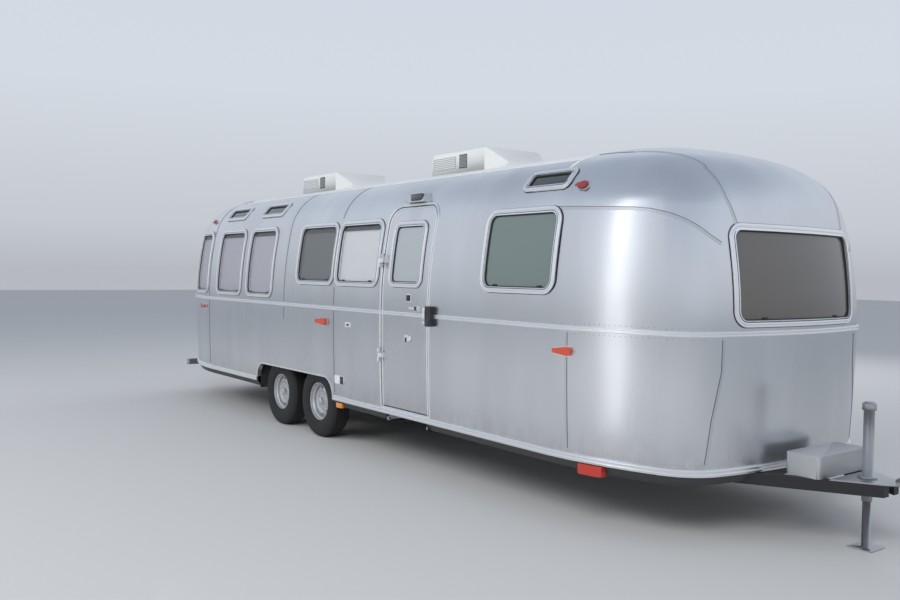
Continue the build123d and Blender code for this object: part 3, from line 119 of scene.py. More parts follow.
@dataclass
class BodyForm:
    """The skin as a surface: straight walls of four arcs and two rounded ends."""

    nose: float = field(default_factory=lambda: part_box("front_shell")[1].x)
    tail: float = field(default_factory=lambda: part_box("rear_shell")[0].x)
    front_joint: float = field(default_factory=lambda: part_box("front_shell")[0].x)
    rear_joint: float = field(default_factory=lambda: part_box("rear_shell")[1].x)
    rail_z: float = field(default_factory=lambda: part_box("kerb_side_wall")[0].z)
    half_width: float = 1.220
    belt_rise: float = 0.837
    rail_tuck: float = 0.024
    upper_radius: float = 3.740
    upper_span: float = 12.26
    shoulder_radius: float = 0.527
    seam_angle: float = 71.6
    corner_share: float = 0.30
    front_span: float = 12.6
    corner_end: float = 68.75
    side_clear: float = 0.3
    side_reach: float = 1.6
    end_clear: float = 0.2
    end_reach: float = 1.8
    roof_clear: float = 0.05
    roof_reach: float = 1.9
    probe: float = 0.002
    march_steps: int = 60
    halvings: int = 22

    def __post_init__(self) -> None:
        """Works out the arcs of the section."""
        low = (self.belt_rise**2 + self.rail_tuck**2) / (2 * self.rail_tuck)
        foot = -math.degrees(math.asin(self.belt_rise / low))
        self.belt_z = self.rail_z + self.belt_rise
        lower = Arc(self.half_width - low, self.belt_z, low, foot, 0)
        upper = Arc(self.half_width - self.upper_radius, self.belt_z, self.upper_radius, 0, self.upper_span)
        step = self.upper_radius - self.shoulder_radius
        turn = math.radians(self.upper_span)
        shoulder_y = upper.centre_y + step * math.cos(turn)
        shoulder_z = upper.centre_z + step * math.sin(turn)
        shoulder = Arc(shoulder_y, shoulder_z, self.shoulder_radius, self.upper_span, self.seam_angle)
        seam = math.radians(self.seam_angle)
        crown_radius = self.shoulder_radius + shoulder_y / math.cos(seam)
        crown_z = shoulder_z - (crown_radius - self.shoulder_radius) * math.sin(seam)
        self.arcs = (lower, upper, shoulder, Arc(0, crown_z, crown_radius, self.seam_angle, 90))
        self.roof_z = crown_z + crown_radius
        self.middle = (self.nose + self.tail) / 2
        self.depth = self.nose - self.front_joint

    def half_at(self, z: float) -> float:
        """Half width of the section at a height.

        Args:
            z: the height over the ground.

        Returns:
            The half width, or 0 over the roof.
        """
        for arc in self.arcs:
            lift = (z - arc.centre_z) / arc.radius
            if lift >= 1:
                return 0.0
            angle = math.degrees(math.asin(max(-1.0, lift)))
            if angle <= arc.end:
                break
        return max(0.0, arc.at(angle)[0])

    def gap(self, p: Vector) -> float:
        """Distance of a point outside the skin, measured in its level; negative inside.

        Args:
            p: the point.

        Returns:
            The distance in metres.
        """
        width = self.half_at(p.z)
        y = abs(p.y)
        if self.rear_joint <= p.x <= self.front_joint:
            return y - width
        x = abs(p.x - self.middle) - (self.front_joint - self.middle)
        if width < 1e-4:
            return math.hypot(x, y)
        depth = self.depth * width / self.half_width
        corner = width * (1 - (1 - self.corner_share) * width / self.half_width)
        a, b = math.radians(self.front_span), math.radians(self.corner_end)
        across = width - corner * (math.sin(b) - math.sin(a))
        along = depth - corner * (math.cos(a) - math.cos(b))
        scale = math.sin(a) * math.cos(b) - (1 - math.sin(b)) * (1 - math.cos(a))
        front = (across * math.cos(b) - (1 - math.sin(b)) * along) / scale
        blend = (math.sin(a) * along - (1 - math.cos(a)) * across) / scale
        front_x = depth - front
        if math.atan2(y, x - front_x) <= a:
            return math.hypot(x - front_x, y) - front
        corner_x = front_x + (front - corner) * math.cos(a)
        corner_y = (front - corner) * math.sin(a)
        blend_x = corner_x + (corner - blend) * math.cos(b)
        blend_y = corner_y + (corner - blend) * math.sin(b)
        if math.atan2(y - blend_y, x - blend_x) >= b:
            return math.hypot(x - blend_x, y - blend_y) - blend
        return math.hypot(x - corner_x, y - corner_y) - corner

    def normal(self, p: Vector) -> Vector:
        """Outward normal of the skin near a point.

        Args:
            p: the point.

        Returns:
            The unit normal.
        """
        d = self.probe
        q = Vector((p.x, p.y, min(max(p.z, self.rail_z + d), self.roof_z - 1.5 * d)))
        steps = (Vector((d, 0, 0)), Vector((0, d, 0)), Vector((0, 0, d)))
        slope = Vector([self.gap(q + step) - self.gap(q - step) for step in steps])
        return slope.normalized() if slope.length > 1e-9 else UP.copy()

    def project(self, start: Vector, direction: Vector, reach: float = 3.0) -> Vector:
        """First point of the skin from a place outside it.

        Args:
            start: a point outside the body.
            direction: the way to the body.
            reach: how far to look.

        Returns:
            The point on the skin.
        """
        way = direction.normalized()
        step, low = reach / self.march_steps, 0.0
        while low < reach and self.gap(start + way * (low + step)) > 0:
            low += step
        high = low + step
        for _ in range(self.halvings):
            mid = (low + high) / 2
            if self.gap(start + way * mid) > 0:
                low = mid
            else:
                high = mid
        return start + way * low

    def wall(self, side: Side, x: float, z: float) -> Vector:
        """Point of the skin that one side shows."""
        start = Vector((x, side.value * (self.half_width + self.side_clear), z))
        return self.project(start, Vector((0, -side.value, 0)), self.side_reach)

    def end(self, y: float, z: float, front: bool = True) -> Vector:
        """Point of a rounded end.

        Args:
            y: its distance across.
            z: its height.
            front: whether it is the front end.

        Returns:
            The point.
        """
        sign, tip = (1, self.nose) if front else (-1, self.tail)
        start = Vector((tip + sign * self.end_clear, y, z))
        return self.project(start, Vector((-sign, 0, 0)), self.end_reach)

    def roof(self, x: float, y: float) -> Vector:
        """Point of the roof over a place in the plan."""
        return self.project(Vector((x, y, self.roof_z + self.roof_clear)), -UP, self.roof_reach)

    def behind(self, distance: float) -> float:
        """X of a place measured back from the nose."""
        return self.nose - distance


# Mesh helpers


def linked(name: str, data: bpy.types.ID) -> Object:
    """Object of a mesh, camera or lamp, linked to the scene.

    Args:
        name: the object's name.
        data: what it shows.

    Returns:
        The object, at the origin.
    """
    obj = bpy.data.objects.new(name, data)
    bpy.context.scene.collection.objects.link(obj)
    return obj


def shade(mesh: bpy.types.Mesh, sharp: float = SHARP_ANGLE) -> None:
    """Smooths a mesh but for the edges past an angle."""
    mesh.shade_smooth()
    mesh.set_sharp_from_angle(angle=math.radians(sharp))


def from_bmesh(name: str, bm: bmesh.types.BMesh, sharp: float = SHARP_ANGLE) -> Object:
    """Object of a finished BMesh, which is freed.

    Args:
        name: the object's name.
        bm: the shape.
        sharp: angle past which an edge stays sharp.

    Returns:
        The linked object.
    """
    mesh = bpy.data.meshes.new(name)
    bm.to_mesh(mesh)
    bm.free()
    shade(mesh, sharp)
    return linked(name, mesh)


def mesh_object(name: str, verts: Sequence, faces: Sequence, smooth: bool = True) -> Object:
    """Object at the origin from vertices and faces, with its normals turned out.

    Args:
        name: the object's name.
        verts: places in the shared frame.
        faces: vertex numbers.
        smooth: whether it is shaded smooth.

    Returns:
        The linked object.
    """
    mesh = bpy.data.meshes.new(name)
    mesh.from_pydata([tuple(v) for v in verts], [], faces)
    bm = bmesh.new()
    bm.from_mesh(mesh)
    bmesh.ops.remove_doubles(bm, verts=bm.verts, dist=MERGE)
    bmesh.ops.recalc_face_normals(bm, faces=bm.faces)
    bm.to_mesh(mesh)
    bm.free()
    if smooth:
        shade(mesh)
    return linked(name, mesh)


def join_meshes(name: str, parts: Sequence[Object]) -> Object:
    """One object made of several, which are removed.

    Args:
        name: the new object's name.
        parts: what it is made of.

    Returns:
        The joined object.
    """
    bm = bmesh.new()
    for part in parts:
        bm.from_mesh(part.data)
        bpy.data.objects.remove(part)
    return from_bmesh(name, bm)


@dataclass(frozen=True)
class Station:
    """A place on a path with the outward direction there."""

    place: Vector
    out: Vector

    def moved(self, shift: Vector) -> "Station":
        """The same station at a shifted place."""
        return Station(self.place + shift, self.out)


def sweep(name: str, path: Sequence[Station], profile: Sequence[Point], closed: bool = False) -> Object:
    """Solid strip along a path.

    Args:
        name: the object's name.
        path: stations, in order.
        profile: closed outline of (across, outwards).
        closed: whether the path returns to its start.

    Returns:
        The strip's object.
    """
    count, size = len(path), len(profile)
    verts = []
    for i, station in enumerate(path):
        before = path[(i - 1) % count].place if closed or i else station.place
        after = path[(i + 1) % count].place if closed or i < count - 1 else station.place
        along = (after - before).normalized()
        across = along.cross(station.out).normalized()
        out = across.cross(along).normalized()
        verts += [station.place + across * a + out * o for a, o in profile]
    faces = []
    for i in range(count if closed else count - 1):
        j = (i + 1) % count
        for k in range(size):
            m = (k + 1) % size
            faces.append((i * size + k, i * size + m, j * size + m, j * size + k))
    if not closed:
        faces += [tuple(range(size)), tuple(range((count - 1) * size, count * size))]
    return mesh_object(name, verts, faces)


def half_round(width: float, height: float, foot: float) -> list[Point]:
    """Outline of a half-round bead.

    Args:
        width: its width on the seat.
        height: how far it stands out.
        foot: how far it sinks into the seat.

    Returns:
        Points of (across, outwards).
    """
    turns = [math.pi * k / DOME_STEPS for k in range(DOME_STEPS + 1)]
    dome = [(width / 2 * math.cos(turn), height * math.sin(turn)) for turn in turns]
    return dome + [(-width / 2, -foot), (width / 2, -foot)]


def flat_strip(width: float, height: float, foot: float = 0.001) -> list[Point]:
    """Outline of a flat strip with eased edges.

    Args:
        width: its width.
        height: how far it stands out.
        foot: how far it sinks into the seat.

    Returns:
        Points of (across, outwards).
    """
    ease = min(height * 0.6, width * 0.2)
    return [
        (width / 2, -foot), (width / 2, height - ease), (width / 2 - ease, height),
        (ease - width / 2, height), (-width / 2, height - ease), (-width / 2, -foot),
    ]


def turned(name: str, profile: Sequence[Point], centre: Vector, axis: Vector, segments: int = 48) -> Object:
    """Closed shape turned about an axis.

    Args:
        name: the object's name.
        profile: (radius, along) from pole to pole, or a closed ring when it never meets the axis.
        centre: the point of the axis where along is zero.
        axis: direction of the axis.
        segments: steps round it.

    Returns:
        The turned object.
    """
    way = axis.normalized()
    aside = way.orthogonal().normalized()
    other = way.cross(aside)
    poles = profile[0][0] < MERGE and profile[-1][0] < MERGE
    verts = []
    for radius, along in profile:
        for k in range(segments):
            turn = 2 * math.pi * k / segments
            spoke = aside * math.cos(turn) + other * math.sin(turn)
            verts.append(centre + way * along + spoke * radius)
    rows = len(profile)
    faces = []
    for i in range(rows - 1 if poles else rows):
        j = (i + 1) % rows
        for k in range(segments):
            m = (k + 1) % segments
            faces.append((i * segments + k, i * segments + m, j * segments + m, j * segments + k))
    return mesh_object(name, verts, faces)


def block(name: str, low: Sequence[float], high: Sequence[float], bevel: float = 0.003) -> Object:
    """Box between two corners with rounded edges.

    Args:
        name: the object's name.
        low: its low corner.
        high: its high corner.
        bevel: how far its edges are rounded.

    Returns:
        The box.
    """
    bm = bmesh.new()
    bmesh.ops.create_cube(bm, size=1)
    for vert in bm.verts:
        vert.co = Vector([lo if c < 0 else hi for c, lo, hi in zip(vert.co, low, high)])
    if bevel:
        bmesh.ops.bevel(bm, geom=bm.edges, offset=bevel, segments=2, profile=0.5, affect="EDGES")
    return from_bmesh(name, bm, BLOCK_SHARP)


def rod(name: str, start: Vector, end: Vector, radius: float, segments: int = 24) -> Object:
    """Round bar with slightly eased ends.

    Args:
        name: the object's name.
        start: middle of one end.
        end: middle of the other.
        radius: its radius.
        segments: steps round it.

    Returns:
        The bar.
    """
    length = (end - start).length
    ease = min(radius * 0.2, length * 0.2)
    tip = [(0, 0), (radius - ease, 0), (radius, ease)]
    profile = tip + [(r, length - along) for r, along in reversed(tip)]
    return turned(name, profile, start, end - start, segments)


def pierced(name: str, obj: Object, cutters: Sequence[Object]) -> Object:
    """Copy of an object with other shapes cut out of it; all of them are removed.

    Args:
        name: the copy's name.
        obj: what is cut.
        cutters: what is taken away.

    Returns:
        The cut copy.
    """
    cutter = join_meshes("cut", cutters)
    modifier = obj.modifiers.new("openings", "BOOLEAN")
    modifier.object = cutter
    modifier.solver = "EXACT"
    result = plain_mesh(obj, name)
    bpy.data.objects.remove(cutter)
    return result


def plain_mesh(carrier: Object, name: str) -> Object:
    """Plain copy of what a carrier's modifiers make; the carrier is removed.

    Args:
        carrier: the object with live modifiers.
        name: the copy's name.

    Returns:
        The copy.
    """
    graph = bpy.context.evaluated_depsgraph_get()
    graph.update()
    mesh = bpy.data.meshes.new_from_object(carrier.evaluated_get(graph))
    mesh.name = name
    if Studs.OUTWARD in mesh.attributes:
        mesh.attributes.remove(mesh.attributes[Studs.OUTWARD])
    bpy.data.objects.remove(carrier)
    return linked(name, mesh)


# Finishes


@dataclass(frozen=True)
class Finish:
    """A plain finish with an optional fine grain."""

    name: str
    color: Triple
    metallic: float = 0.0
    roughness: float = 0.5
    specular: float = 0.5
    coat: float = 0.0
    alpha: float = 1.0
    grain: float = 0.0
    grain_scale: float = 40.0

    def material(self) -> bpy.types.Material:
        """The Blender material, made once.

        Returns:
            The material.
        """
        found = bpy.data.materials.get(self.name)
        if found:
            return found
        made = bpy.data.materials.new(self.name)
        made.use_nodes = True
        shader = made.node_tree.nodes["Principled BSDF"]
        values = {
            "Base Color": (*self.color, 1), "Metallic": self.metallic, "Roughness": self.roughness,
            "Specular IOR Level": self.specular, "Coat Weight": self.coat, "Alpha": self.alpha,
        }
        for label, value in values.items():
            shader.inputs[label].default_value = value
        self.detail(made.node_tree, shader)
        return made

    def detail(self, tree: NodeTree, shader: Node) -> None:
        """Adds the grain as a light bump.

        Args:
            tree: the material's tree.
            shader: its shader.
        """
        if self.grain:
            noise = noise_node(tree, (self.grain_scale,) * 3, detail=4)
            add_bump(tree, shader, noise, self.grain, 0.001)


def noise_node(tree: NodeTree, scale: Sequence[float], detail: float = 2, seed: float = 0) -> Socket:
    """Noise on object coordinates, stretched by a scale for each axis.

    Args:
        tree: the material's tree.
        scale: scale along each axis.
        detail: the noise's detail.
        seed: shifts the pattern.

    Returns:
        The noise's value.
    """
    place = tree.nodes.new("ShaderNodeTexCoord")
    mapping = tree.nodes.new("ShaderNodeMapping")
    mapping.inputs["Scale"].default_value = tuple(scale)
    mapping.inputs["Location"].default_value = (seed, seed * 0.7, seed * 1.3)
    noise = tree.nodes.new("ShaderNodeTexNoise")
    noise.inputs["Scale"].default_value = 1.0
    noise.inputs["Detail"].default_value = detail
    tree.links.new(place.outputs["Object"], mapping.inputs["Vector"])
    tree.links.new(mapping.outputs["Vector"], noise.inputs["Vector"])
    return noise.outputs["Fac"]


def add_bump(tree: NodeTree, shader: Node, height: Socket, strength: float, distance: float) -> None:
    """Lets a value raise the surface of a shader.

    Args:
        tree: the material's tree.
        shader: its shader.
        height: the value.
        strength: the bump's strength.
        distance: how far the value of 1 raises it.
    """
    bump = tree.nodes.new("ShaderNodeBump")
    bump.inputs["Strength"].default_value = strength
    bump.inputs["Distance"].default_value = distance
    tree.links.new(height, bump.inputs["Height"])
    tree.links.new(bump.outputs["Normal"], shader.inputs["Normal"])


def remap(tree: NodeTree, source: Socket, span: Point, result: Point) -> Socket:
    """Value taken from one span to another and kept inside it.

    Args:
        tree: the material's tree.
        source: the value.
        span: the span it comes from.
        result: the span it goes to.

    Returns:
        The new value.
    """
    node = tree.nodes.new("ShaderNodeMapRange")
    node.inputs["From Min"].default_value, node.inputs["From Max"].default_value = span
    node.inputs["To Min"].default_value, node.inputs["To Max"].default_value = result
    tree.links.new(source, node.inputs["Value"])
    return node.outputs["Result"]


@dataclass(frozen=True)
class SheetFinish(Finish):
    """Aged sheet aluminium: rolled streaks, slow waves between the frames and dirt near the rail."""

    worn: Triple = (0.68, 0.69, 0.71)
    dirt: Triple = (0.34, 0.31, 0.28)
    dirt_heights: Point = (0.46, 0.70)
    dirt_share: float = 0.3
    streak_scale: Triple = (2.6, 2.6, 0.3)
    cloud_scale: Triple = (0.9, 0.9, 0.8)
    speck_scale: Triple = (14, 14, 9)
    wave_scale: Triple = (1.7, 1.1, 1.3)
    wave: float = 0.30
    wave_depth: float = 0.02

    def detail(self, tree: NodeTree, shader: Node) -> None:
        """Adds wear to colour and roughness, the sheet's waves and the dirt at its foot.

        Args:
            tree: the material's tree.
            shader: its shader.
        """
        streaks = remap(tree, noise_node(tree, self.streak_scale, seed=3), (0.35, 0.7), (0, 0.6))
        clouds = remap(tree, noise_node(tree, self.cloud_scale, seed=8), (0.4, 0.65), (0, 0.4))
        wear = self.combine(tree, "ADD", streaks, clouds)
        tone = self.mix(tree, wear, self.worn)
        tone.inputs["A"].default_value = (*self.color, 1)
        dirty = self.mix(tree, self.dirt_at(tree), self.dirt)
        tree.links.new(tone.outputs["Result"], dirty.inputs["A"])
        tree.links.new(dirty.outputs["Result"], shader.inputs["Base Color"])
        rough = remap(tree, wear, (0, 1), (self.roughness - 0.02, self.roughness + 0.05))
        tree.links.new(rough, shader.inputs["Roughness"])
        waves = noise_node(tree, self.wave_scale, detail=1, seed=1)
        add_bump(tree, shader, waves, self.wave, self.wave_depth)

    def dirt_at(self, tree: NodeTree) -> Socket:
        """Specks of dirt that thin out above the rail.

        Args:
            tree: the material's tree.

        Returns:
            The share of dirt.
        """
        place = tree.nodes.new("ShaderNodeTexCoord")
        split = tree.nodes.new("ShaderNodeSeparateXYZ")
        tree.links.new(place.outputs["Object"], split.inputs[0])
        low = remap(tree, split.outputs["Z"], self.dirt_heights, (self.dirt_share, 0))
        specks = remap(tree, noise_node(tree, self.speck_scale, seed=5), (0.3, 0.7), (0.2, 1))
        return self.combine(tree, "MULTIPLY", low, specks)

    @staticmethod
    def combine(tree: NodeTree, operation: str, first: Socket, second: Socket) -> Socket:
        """Sum or product of two values.

        Args:
            tree: the material's tree.
            operation: the Math node's operation.
            first: one value.
            second: the other.

        Returns:
            The result.
        """
        node = tree.nodes.new("ShaderNodeMath")
        node.operation = operation
        tree.links.new(first, node.inputs[0])
        tree.links.new(second, node.inputs[1])
        return node.outputs[0]

    @staticmethod
    def mix(tree: NodeTree, share: Socket, color: Triple) -> Node:
        """Mix of colours towards a given one.

        Args:
            tree: the material's tree.
            share: share of the given colour.
            color: the colour at a share of 1.

        Returns:
            The Mix node, whose input A is still free.
        """
        node = tree.nodes.new("ShaderNodeMix")
        node.data_type = "RGBA"
        node.inputs["B"].default_value = (*color, 1)
        tree.links.new(share, node.inputs["Factor"])
        return node


LENS = {"roughness": 0.15, "specular": 0.6, "coat": 0.6}
TINTED = {"roughness": 0.06, "specular": 0.7}


class Finishes:
    """Every finish of the caravan."""

    SHEET = SheetFinish("aged aluminium sheet", (0.80, 0.812, 0.835), metallic=1.0, roughness=0.25)
    BRIGHT = Finish("bright aluminium trim", (0.96, 0.965, 0.97), metallic=1.0, roughness=0.30, grain=0.1)
    RIVET = Finish("rivet aluminium", (0.62, 0.63, 0.64), metallic=1.0, roughness=0.34)
    SEAM = Finish("lap of the sheets", (0.66, 0.67, 0.69), metallic=1.0, roughness=0.30)
    # Dark line along each lap's edge: painted shadow of the lap's step
    LAP_SHADOW = Finish("painted lap shadow", (0.10, 0.105, 0.11), roughness=0.7)
    ROOF = Finish("white roof coat", (0.74, 0.75, 0.73), roughness=0.55, grain=0.2)
    GLASS = Finish("clear window glass", (0.30, 0.32, 0.34), roughness=0.04, specular=0.6, coat=0.3,
                   alpha=0.16)
    GREEN_GLASS = Finish("green tinted glass", (0.15, 0.195, 0.185), coat=0.6, alpha=0.90, **TINTED)
    DARK_GLASS = Finish("dark tinted glass", (0.035, 0.04, 0.04), coat=0.5, alpha=0.90, **TINTED)
    BROWN_GLASS = Finish("brown tinted glass", (0.115, 0.105, 0.095), roughness=0.08, specular=0.7, coat=0.5,
                         alpha=0.97)
    PALE_GLASS = Finish("frosted door glass", (0.40, 0.43, 0.45), roughness=0.12, specular=0.6, coat=0.5,
                        alpha=0.93)
    # Black of the gaskets, also used for the painted shade bands under the windows' heads
    GASKET_AND_SHADE = Finish("black gasket and painted shade", (0.016, 0.016, 0.016))
    BLIND = Finish("white blind", (0.86, 0.86, 0.87), roughness=0.8, grain=0.2)
    PALE_BLIND = Finish("pale lavender blind", (0.56, 0.54, 0.60), roughness=0.8, grain=0.2)
    SCREEN = Finish("grey insect screen", (0.15, 0.155, 0.155), roughness=0.85, grain=0.6, grain_scale=300)
    BELLY = Finish("dull belly sheet", (0.07, 0.07, 0.072), metallic=0.4, grain=0.3)
    CHASSIS = Finish("black chassis paint", (0.02, 0.02, 0.021), grain=0.4)
    FLOOR = Finish("plywood floor", (0.36, 0.27, 0.18), roughness=0.7, grain=0.3)
    TYRE = Finish("tyre rubber", (0.022, 0.022, 0.022), roughness=0.75, grain=0.4, grain_scale=200)
    RIM = Finish("silver wheel paint", (0.58, 0.59, 0.60), metallic=0.7, roughness=0.35, grain=0.2)
    STEEL = Finish("zinc plated steel", (0.55, 0.55, 0.56), metallic=1.0, roughness=0.38, grain=0.3)
    CHROME = Finish("chrome plate", (0.78, 0.78, 0.79), metallic=1.0, roughness=0.10)
    # Plated door fittings and hinges: the near-white, half-metallic colour paints in their bright highlights
    SHEEN_FITTING = Finish("fitting with painted sheen", (0.86, 0.86, 0.87), metallic=0.55, roughness=0.30)
    SHROUD = Finish("white shroud", (0.76, 0.76, 0.73), roughness=0.42, grain=0.1)
    GRILLE = Finish("grey grille", (0.40, 0.42, 0.43))
    # Dark plate behind the roof units' louvres: painted shade inside the vent
    VENT_SHADE = Finish("painted vent shade", (0.07, 0.075, 0.08), roughness=0.6)
    LOCKER = Finish("grey painted steel", (0.42, 0.43, 0.44), roughness=0.45, grain=0.2)
    RED = Finish("red lens", (0.50, 0.025, 0.012), **LENS)
    ORANGE_RED = Finish("orange red lens", (0.60, 0.060, 0.015), **LENS)
    DEEP_RED = Finish("deep red lens", (0.27, 0.020, 0.008), **LENS)
    AMBER = Finish("amber lens", (0.80, 0.26, 0.02), **LENS)
    SMOKE = Finish("dark lamp lens", (0.045, 0.055, 0.05), roughness=0.10, specular=0.7, coat=0.6)
    WHITE = Finish("white hatch paint", (0.78, 0.78, 0.76), roughness=0.4)
    # Black of the lock box, also used for the painted shadows of the door's hooks
    BLACK_AND_SHADOW = Finish("black lock box and painted shadow", (0.012, 0.012, 0.013), roughness=0.28, specular=0.6, coat=0.3)


def show(obj: Object, finish: Finish, slot: str, body: str = ROOT, *nodes: str) -> Object:
    """Gives a finished piece its material and its body, and hides the CAD nodes it stands for.

    Args:
        obj: the piece, in place.
        finish: its finish.
        slot: the record's material slot; not used.
        body: the CAD body it moves with.
        nodes: CAD nodes that it stands for.

    Returns:
        The piece.
    """
    obj.data.materials.clear()
    obj.data.materials.append(finish.material())
    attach(obj, body)
    if nodes:
        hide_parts(*nodes)
    log.info("%s: %d faces", obj.name, len(obj.data.polygons))
    return obj


def smooth_copy(node: str, form: Optional[BodyForm] = None, islands: Optional[Test] = None,
                name: str = "") -> Object:
    """Smooth copy of a CAD node, with the skin's own normals where it lies along it.

    Args:
        node: the CAD node.
        form: the body's form, for a piece of the skin.
        islands: keeps only the loose pieces whose middle passes this test.
        name: the copy's name, if not the node's.

    Returns:
        The copy.
    """
    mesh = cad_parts[node].data.copy()
    bm = bmesh.new()
    bm.from_mesh(mesh)
    bmesh.ops.remove_doubles(bm, verts=bm.verts, dist=CAD_MERGE)
    if islands:
        drop_islands(bm, islands)
    bm.to_mesh(mesh)
    bm.free()
    shade(mesh, COPY_SHARP)
    if form:
        follow_skin(mesh, form)
    return linked(name or f"{node}_skin", mesh)


def show_copies(rows: Iterable[tuple[str, Finish, str, str]], form: Optional[BodyForm] = None) -> None:
    """Shows smooth copies of CAD nodes in their stead."""
    for node, finish, slot, body in rows:
        show(smooth_copy(node, form), finish, slot, body, node)


def drop_islands(bm: bmesh.types.BMesh, keep: Test) -> None:
    """Removes the loose pieces of a mesh whose middle fails a test.

    Args:
        bm: the mesh.
        keep: the test.
    """
    unseen = set(bm.verts)
    while unseen:
        stack, island = [unseen.pop()], []
        while stack:
            vert = stack.pop()
            island.append(vert)
            for edge in vert.link_edges:
                other = edge.other_vert(vert)
                if other in unseen:
                    unseen.remove(other)
                    stack.append(other)
        middle = sum((v.co for v in island), Vector()) / len(island)
        if not keep(middle):
            bmesh.ops.delete(bm, geom=island, context="VERTS")


def follow_skin(mesh: bpy.types.Mesh, form: BodyForm, limit: float = 16.0) -> None:
    """Gives the corners of faces that lie along the skin its exact normals.

    Args:
        mesh: the mesh.
        form: the body's form.
        limit: angle within which a face lies along the skin.
    """
    least = math.cos(math.radians(limit))
    skin = [form.normal(v.co) for v in mesh.vertices]
    corners = [Vector(n.vector) for n in mesh.corner_normals]
    for face in mesh.polygons:
        for loop in face.loop_indices:
            out = skin[mesh.loops[loop].vertex_index]
            facing = face.normal.dot(out)
            if abs(facing) > least:
                corners[loop] = out if facing > 0 else -out
    mesh.normals_split_custom_set([tuple(n) for n in corners])


# What repeats, by Geometry Nodes


class HeadShape(Enum):
    """Shape of what stands on each point."""

    DOME = "dome"
    BAR = "bar"


class Studs:
    """Geometry Nodes tree that stands a small head or bar on each point of a mesh."""

    LABELS = ("Head length", "Head width", "Head height")
    OUTWARD = "outward"

    def __init__(self, finish: Finish, size: Triple, shape: HeadShape = HeadShape.DOME) -> None:
        """Keeps the head's size and builds the tree."""
        self.finish, self.size, self.shape = finish, size, shape
        self.tree = self._build()

    def _build(self) -> NodeTree:
        """Makes the tree, with the head's sizes as named inputs.

        Returns:
            The tree.
        """
        tree = bpy.data.node_groups.new(f"{self.shape.value} on points", "GeometryNodeTree")
        face = tree.interface
        face.new_socket("Geometry", in_out="INPUT", socket_type="NodeSocketGeometry")
        for label in self.LABELS:
            face.new_socket(label, in_out="INPUT", socket_type="NodeSocketFloat")
        face.new_socket("Geometry", in_out="OUTPUT", socket_type="NodeSocketGeometry")
        nodes, links = tree.nodes, tree.links
        source, sink = nodes.new("NodeGroupInput"), nodes.new("NodeGroupOutput")
        sizes = nodes.new("ShaderNodeCombineXYZ")
        for socket, label in zip("XYZ", self.LABELS):
            links.new(source.outputs[label], sizes.inputs[socket])
        outward = nodes.new("GeometryNodeInputNamedAttribute")
        outward.data_type = "FLOAT_VECTOR"
        outward.inputs["Name"].default_value = self.OUTWARD
        turn = nodes.new("FunctionNodeAlignRotationToVector")
        turn.axis = "Z"
        links.new(outward.outputs["Attribute"], turn.inputs["Vector"])
        points = nodes.new("GeometryNodeMeshToPoints")
        links.new(source.outputs["Geometry"], points.inputs["Mesh"])
        put = nodes.new("GeometryNodeInstanceOnPoints")
        links.new(points.outputs["Points"], put.inputs["Points"])
        links.new(self._head(tree).outputs["Mesh"], put.inputs["Instance"])
        links.new(turn.outputs["Rotation"], put.inputs["Rotation"])
        links.new(sizes.outputs["Vector"], put.inputs["Scale"])
        real = nodes.new("GeometryNodeRealizeInstances")
        links.new(put.outputs["Instances"], real.inputs["Geometry"])
        smooth = nodes.new("GeometryNodeSetShadeSmooth")
        smooth.inputs["Shade Smooth"].default_value = self.shape is HeadShape.DOME
        links.new(real.outputs["Geometry"], smooth.inputs["Geometry"])
        coat = nodes.new("GeometryNodeSetMaterial")
        coat.inputs["Material"].default_value = self.finish.material()
        links.new(smooth.outputs["Geometry"], coat.inputs["Geometry"])
        links.new(coat.outputs["Geometry"], sink.inputs["Geometry"])
        return tree

    def _head(self, tree: NodeTree) -> Node:
        """Adds the mesh of one head, one unit in size.

        Args:
            tree: the tree.

        Returns:
            The node that makes it.
        """
        if self.shape is HeadShape.BAR:
            return tree.nodes.new("GeometryNodeMeshCube")
        ball = tree.nodes.new("GeometryNodeMeshUVSphere")
        for label, value in (("Segments", 8), ("Rings", 6), ("Radius", 1.0)):
            ball.inputs[label].default_value = value
        return ball

    def place(self, name: str, stations: Sequence[Station], slot: str, body: str = ROOT) -> Object:
        """Heads on all the stations, as one plain mesh.

        Args:
            name: the result's name.
            stations: where the heads stand.
            slot: the record's material slot.
            body: the CAD body that carries them.

        Returns:
            The heads' object.
        """
        mesh = bpy.data.meshes.new(f"{name} points")
        mesh.from_pydata([tuple(s.place) for s in stations], [], [])
        outward = mesh.attributes.new(self.OUTWARD, "FLOAT_VECTOR", "POINT")
        for item, station in zip(outward.data, stations):
            item.vector = station.out
        carrier = linked(f"{name} points", mesh)
        modifier = carrier.modifiers.new("studs", "NODES")
        modifier.node_group = self.tree
        values = dict(zip(self.LABELS, self.size))
        for item in self.tree.interface.items_tree:
            if item.in_out == "INPUT" and item.name in values:
                modifier[item.identifier] = values[item.name]
        return show(plain_mesh(carrier, name), self.finish, slot, body)


# Paths on the skin, and about how far apart their points lie

CORNER_STEPS = 7
SETTLE_STEP = 0.02
GAP_STEP = 0.03
LAP_STEP = 0.04
SEAM_STEP = 0.05
OUTLINE_STEP = 0.06
ROW_STEP = 0.08
SHOULDER_STEP = 0.2
WALL_STEP = 0.25
ROOF_STEP = 0.5


def spread(low: float, high: float, pitch: float) -> list[float]:
    """Values from low to high, both included, about a pitch apart."""
    parts = max(1, round(abs(high - low) / pitch))
    return [low + (high - low) * k / parts for k in range(parts + 1)]


def divided(points: Sequence[Point], pitch: float) -> list[Point]:
    """The same line with points about a pitch apart.

    Args:
        points: the line's corners.
        pitch: about how far apart the points are.

    Returns:
        The points.
    """
    result = [points[0]]
    for (ax, ay), (bx, by) in zip(points, points[1:]):
        parts = max(1, round(math.hypot(bx - ax, by - ay) / pitch))
        result += [(ax + (bx - ax) * k / parts, ay + (by - ay) * k / parts) for k in range(1, parts + 1)]
    return result


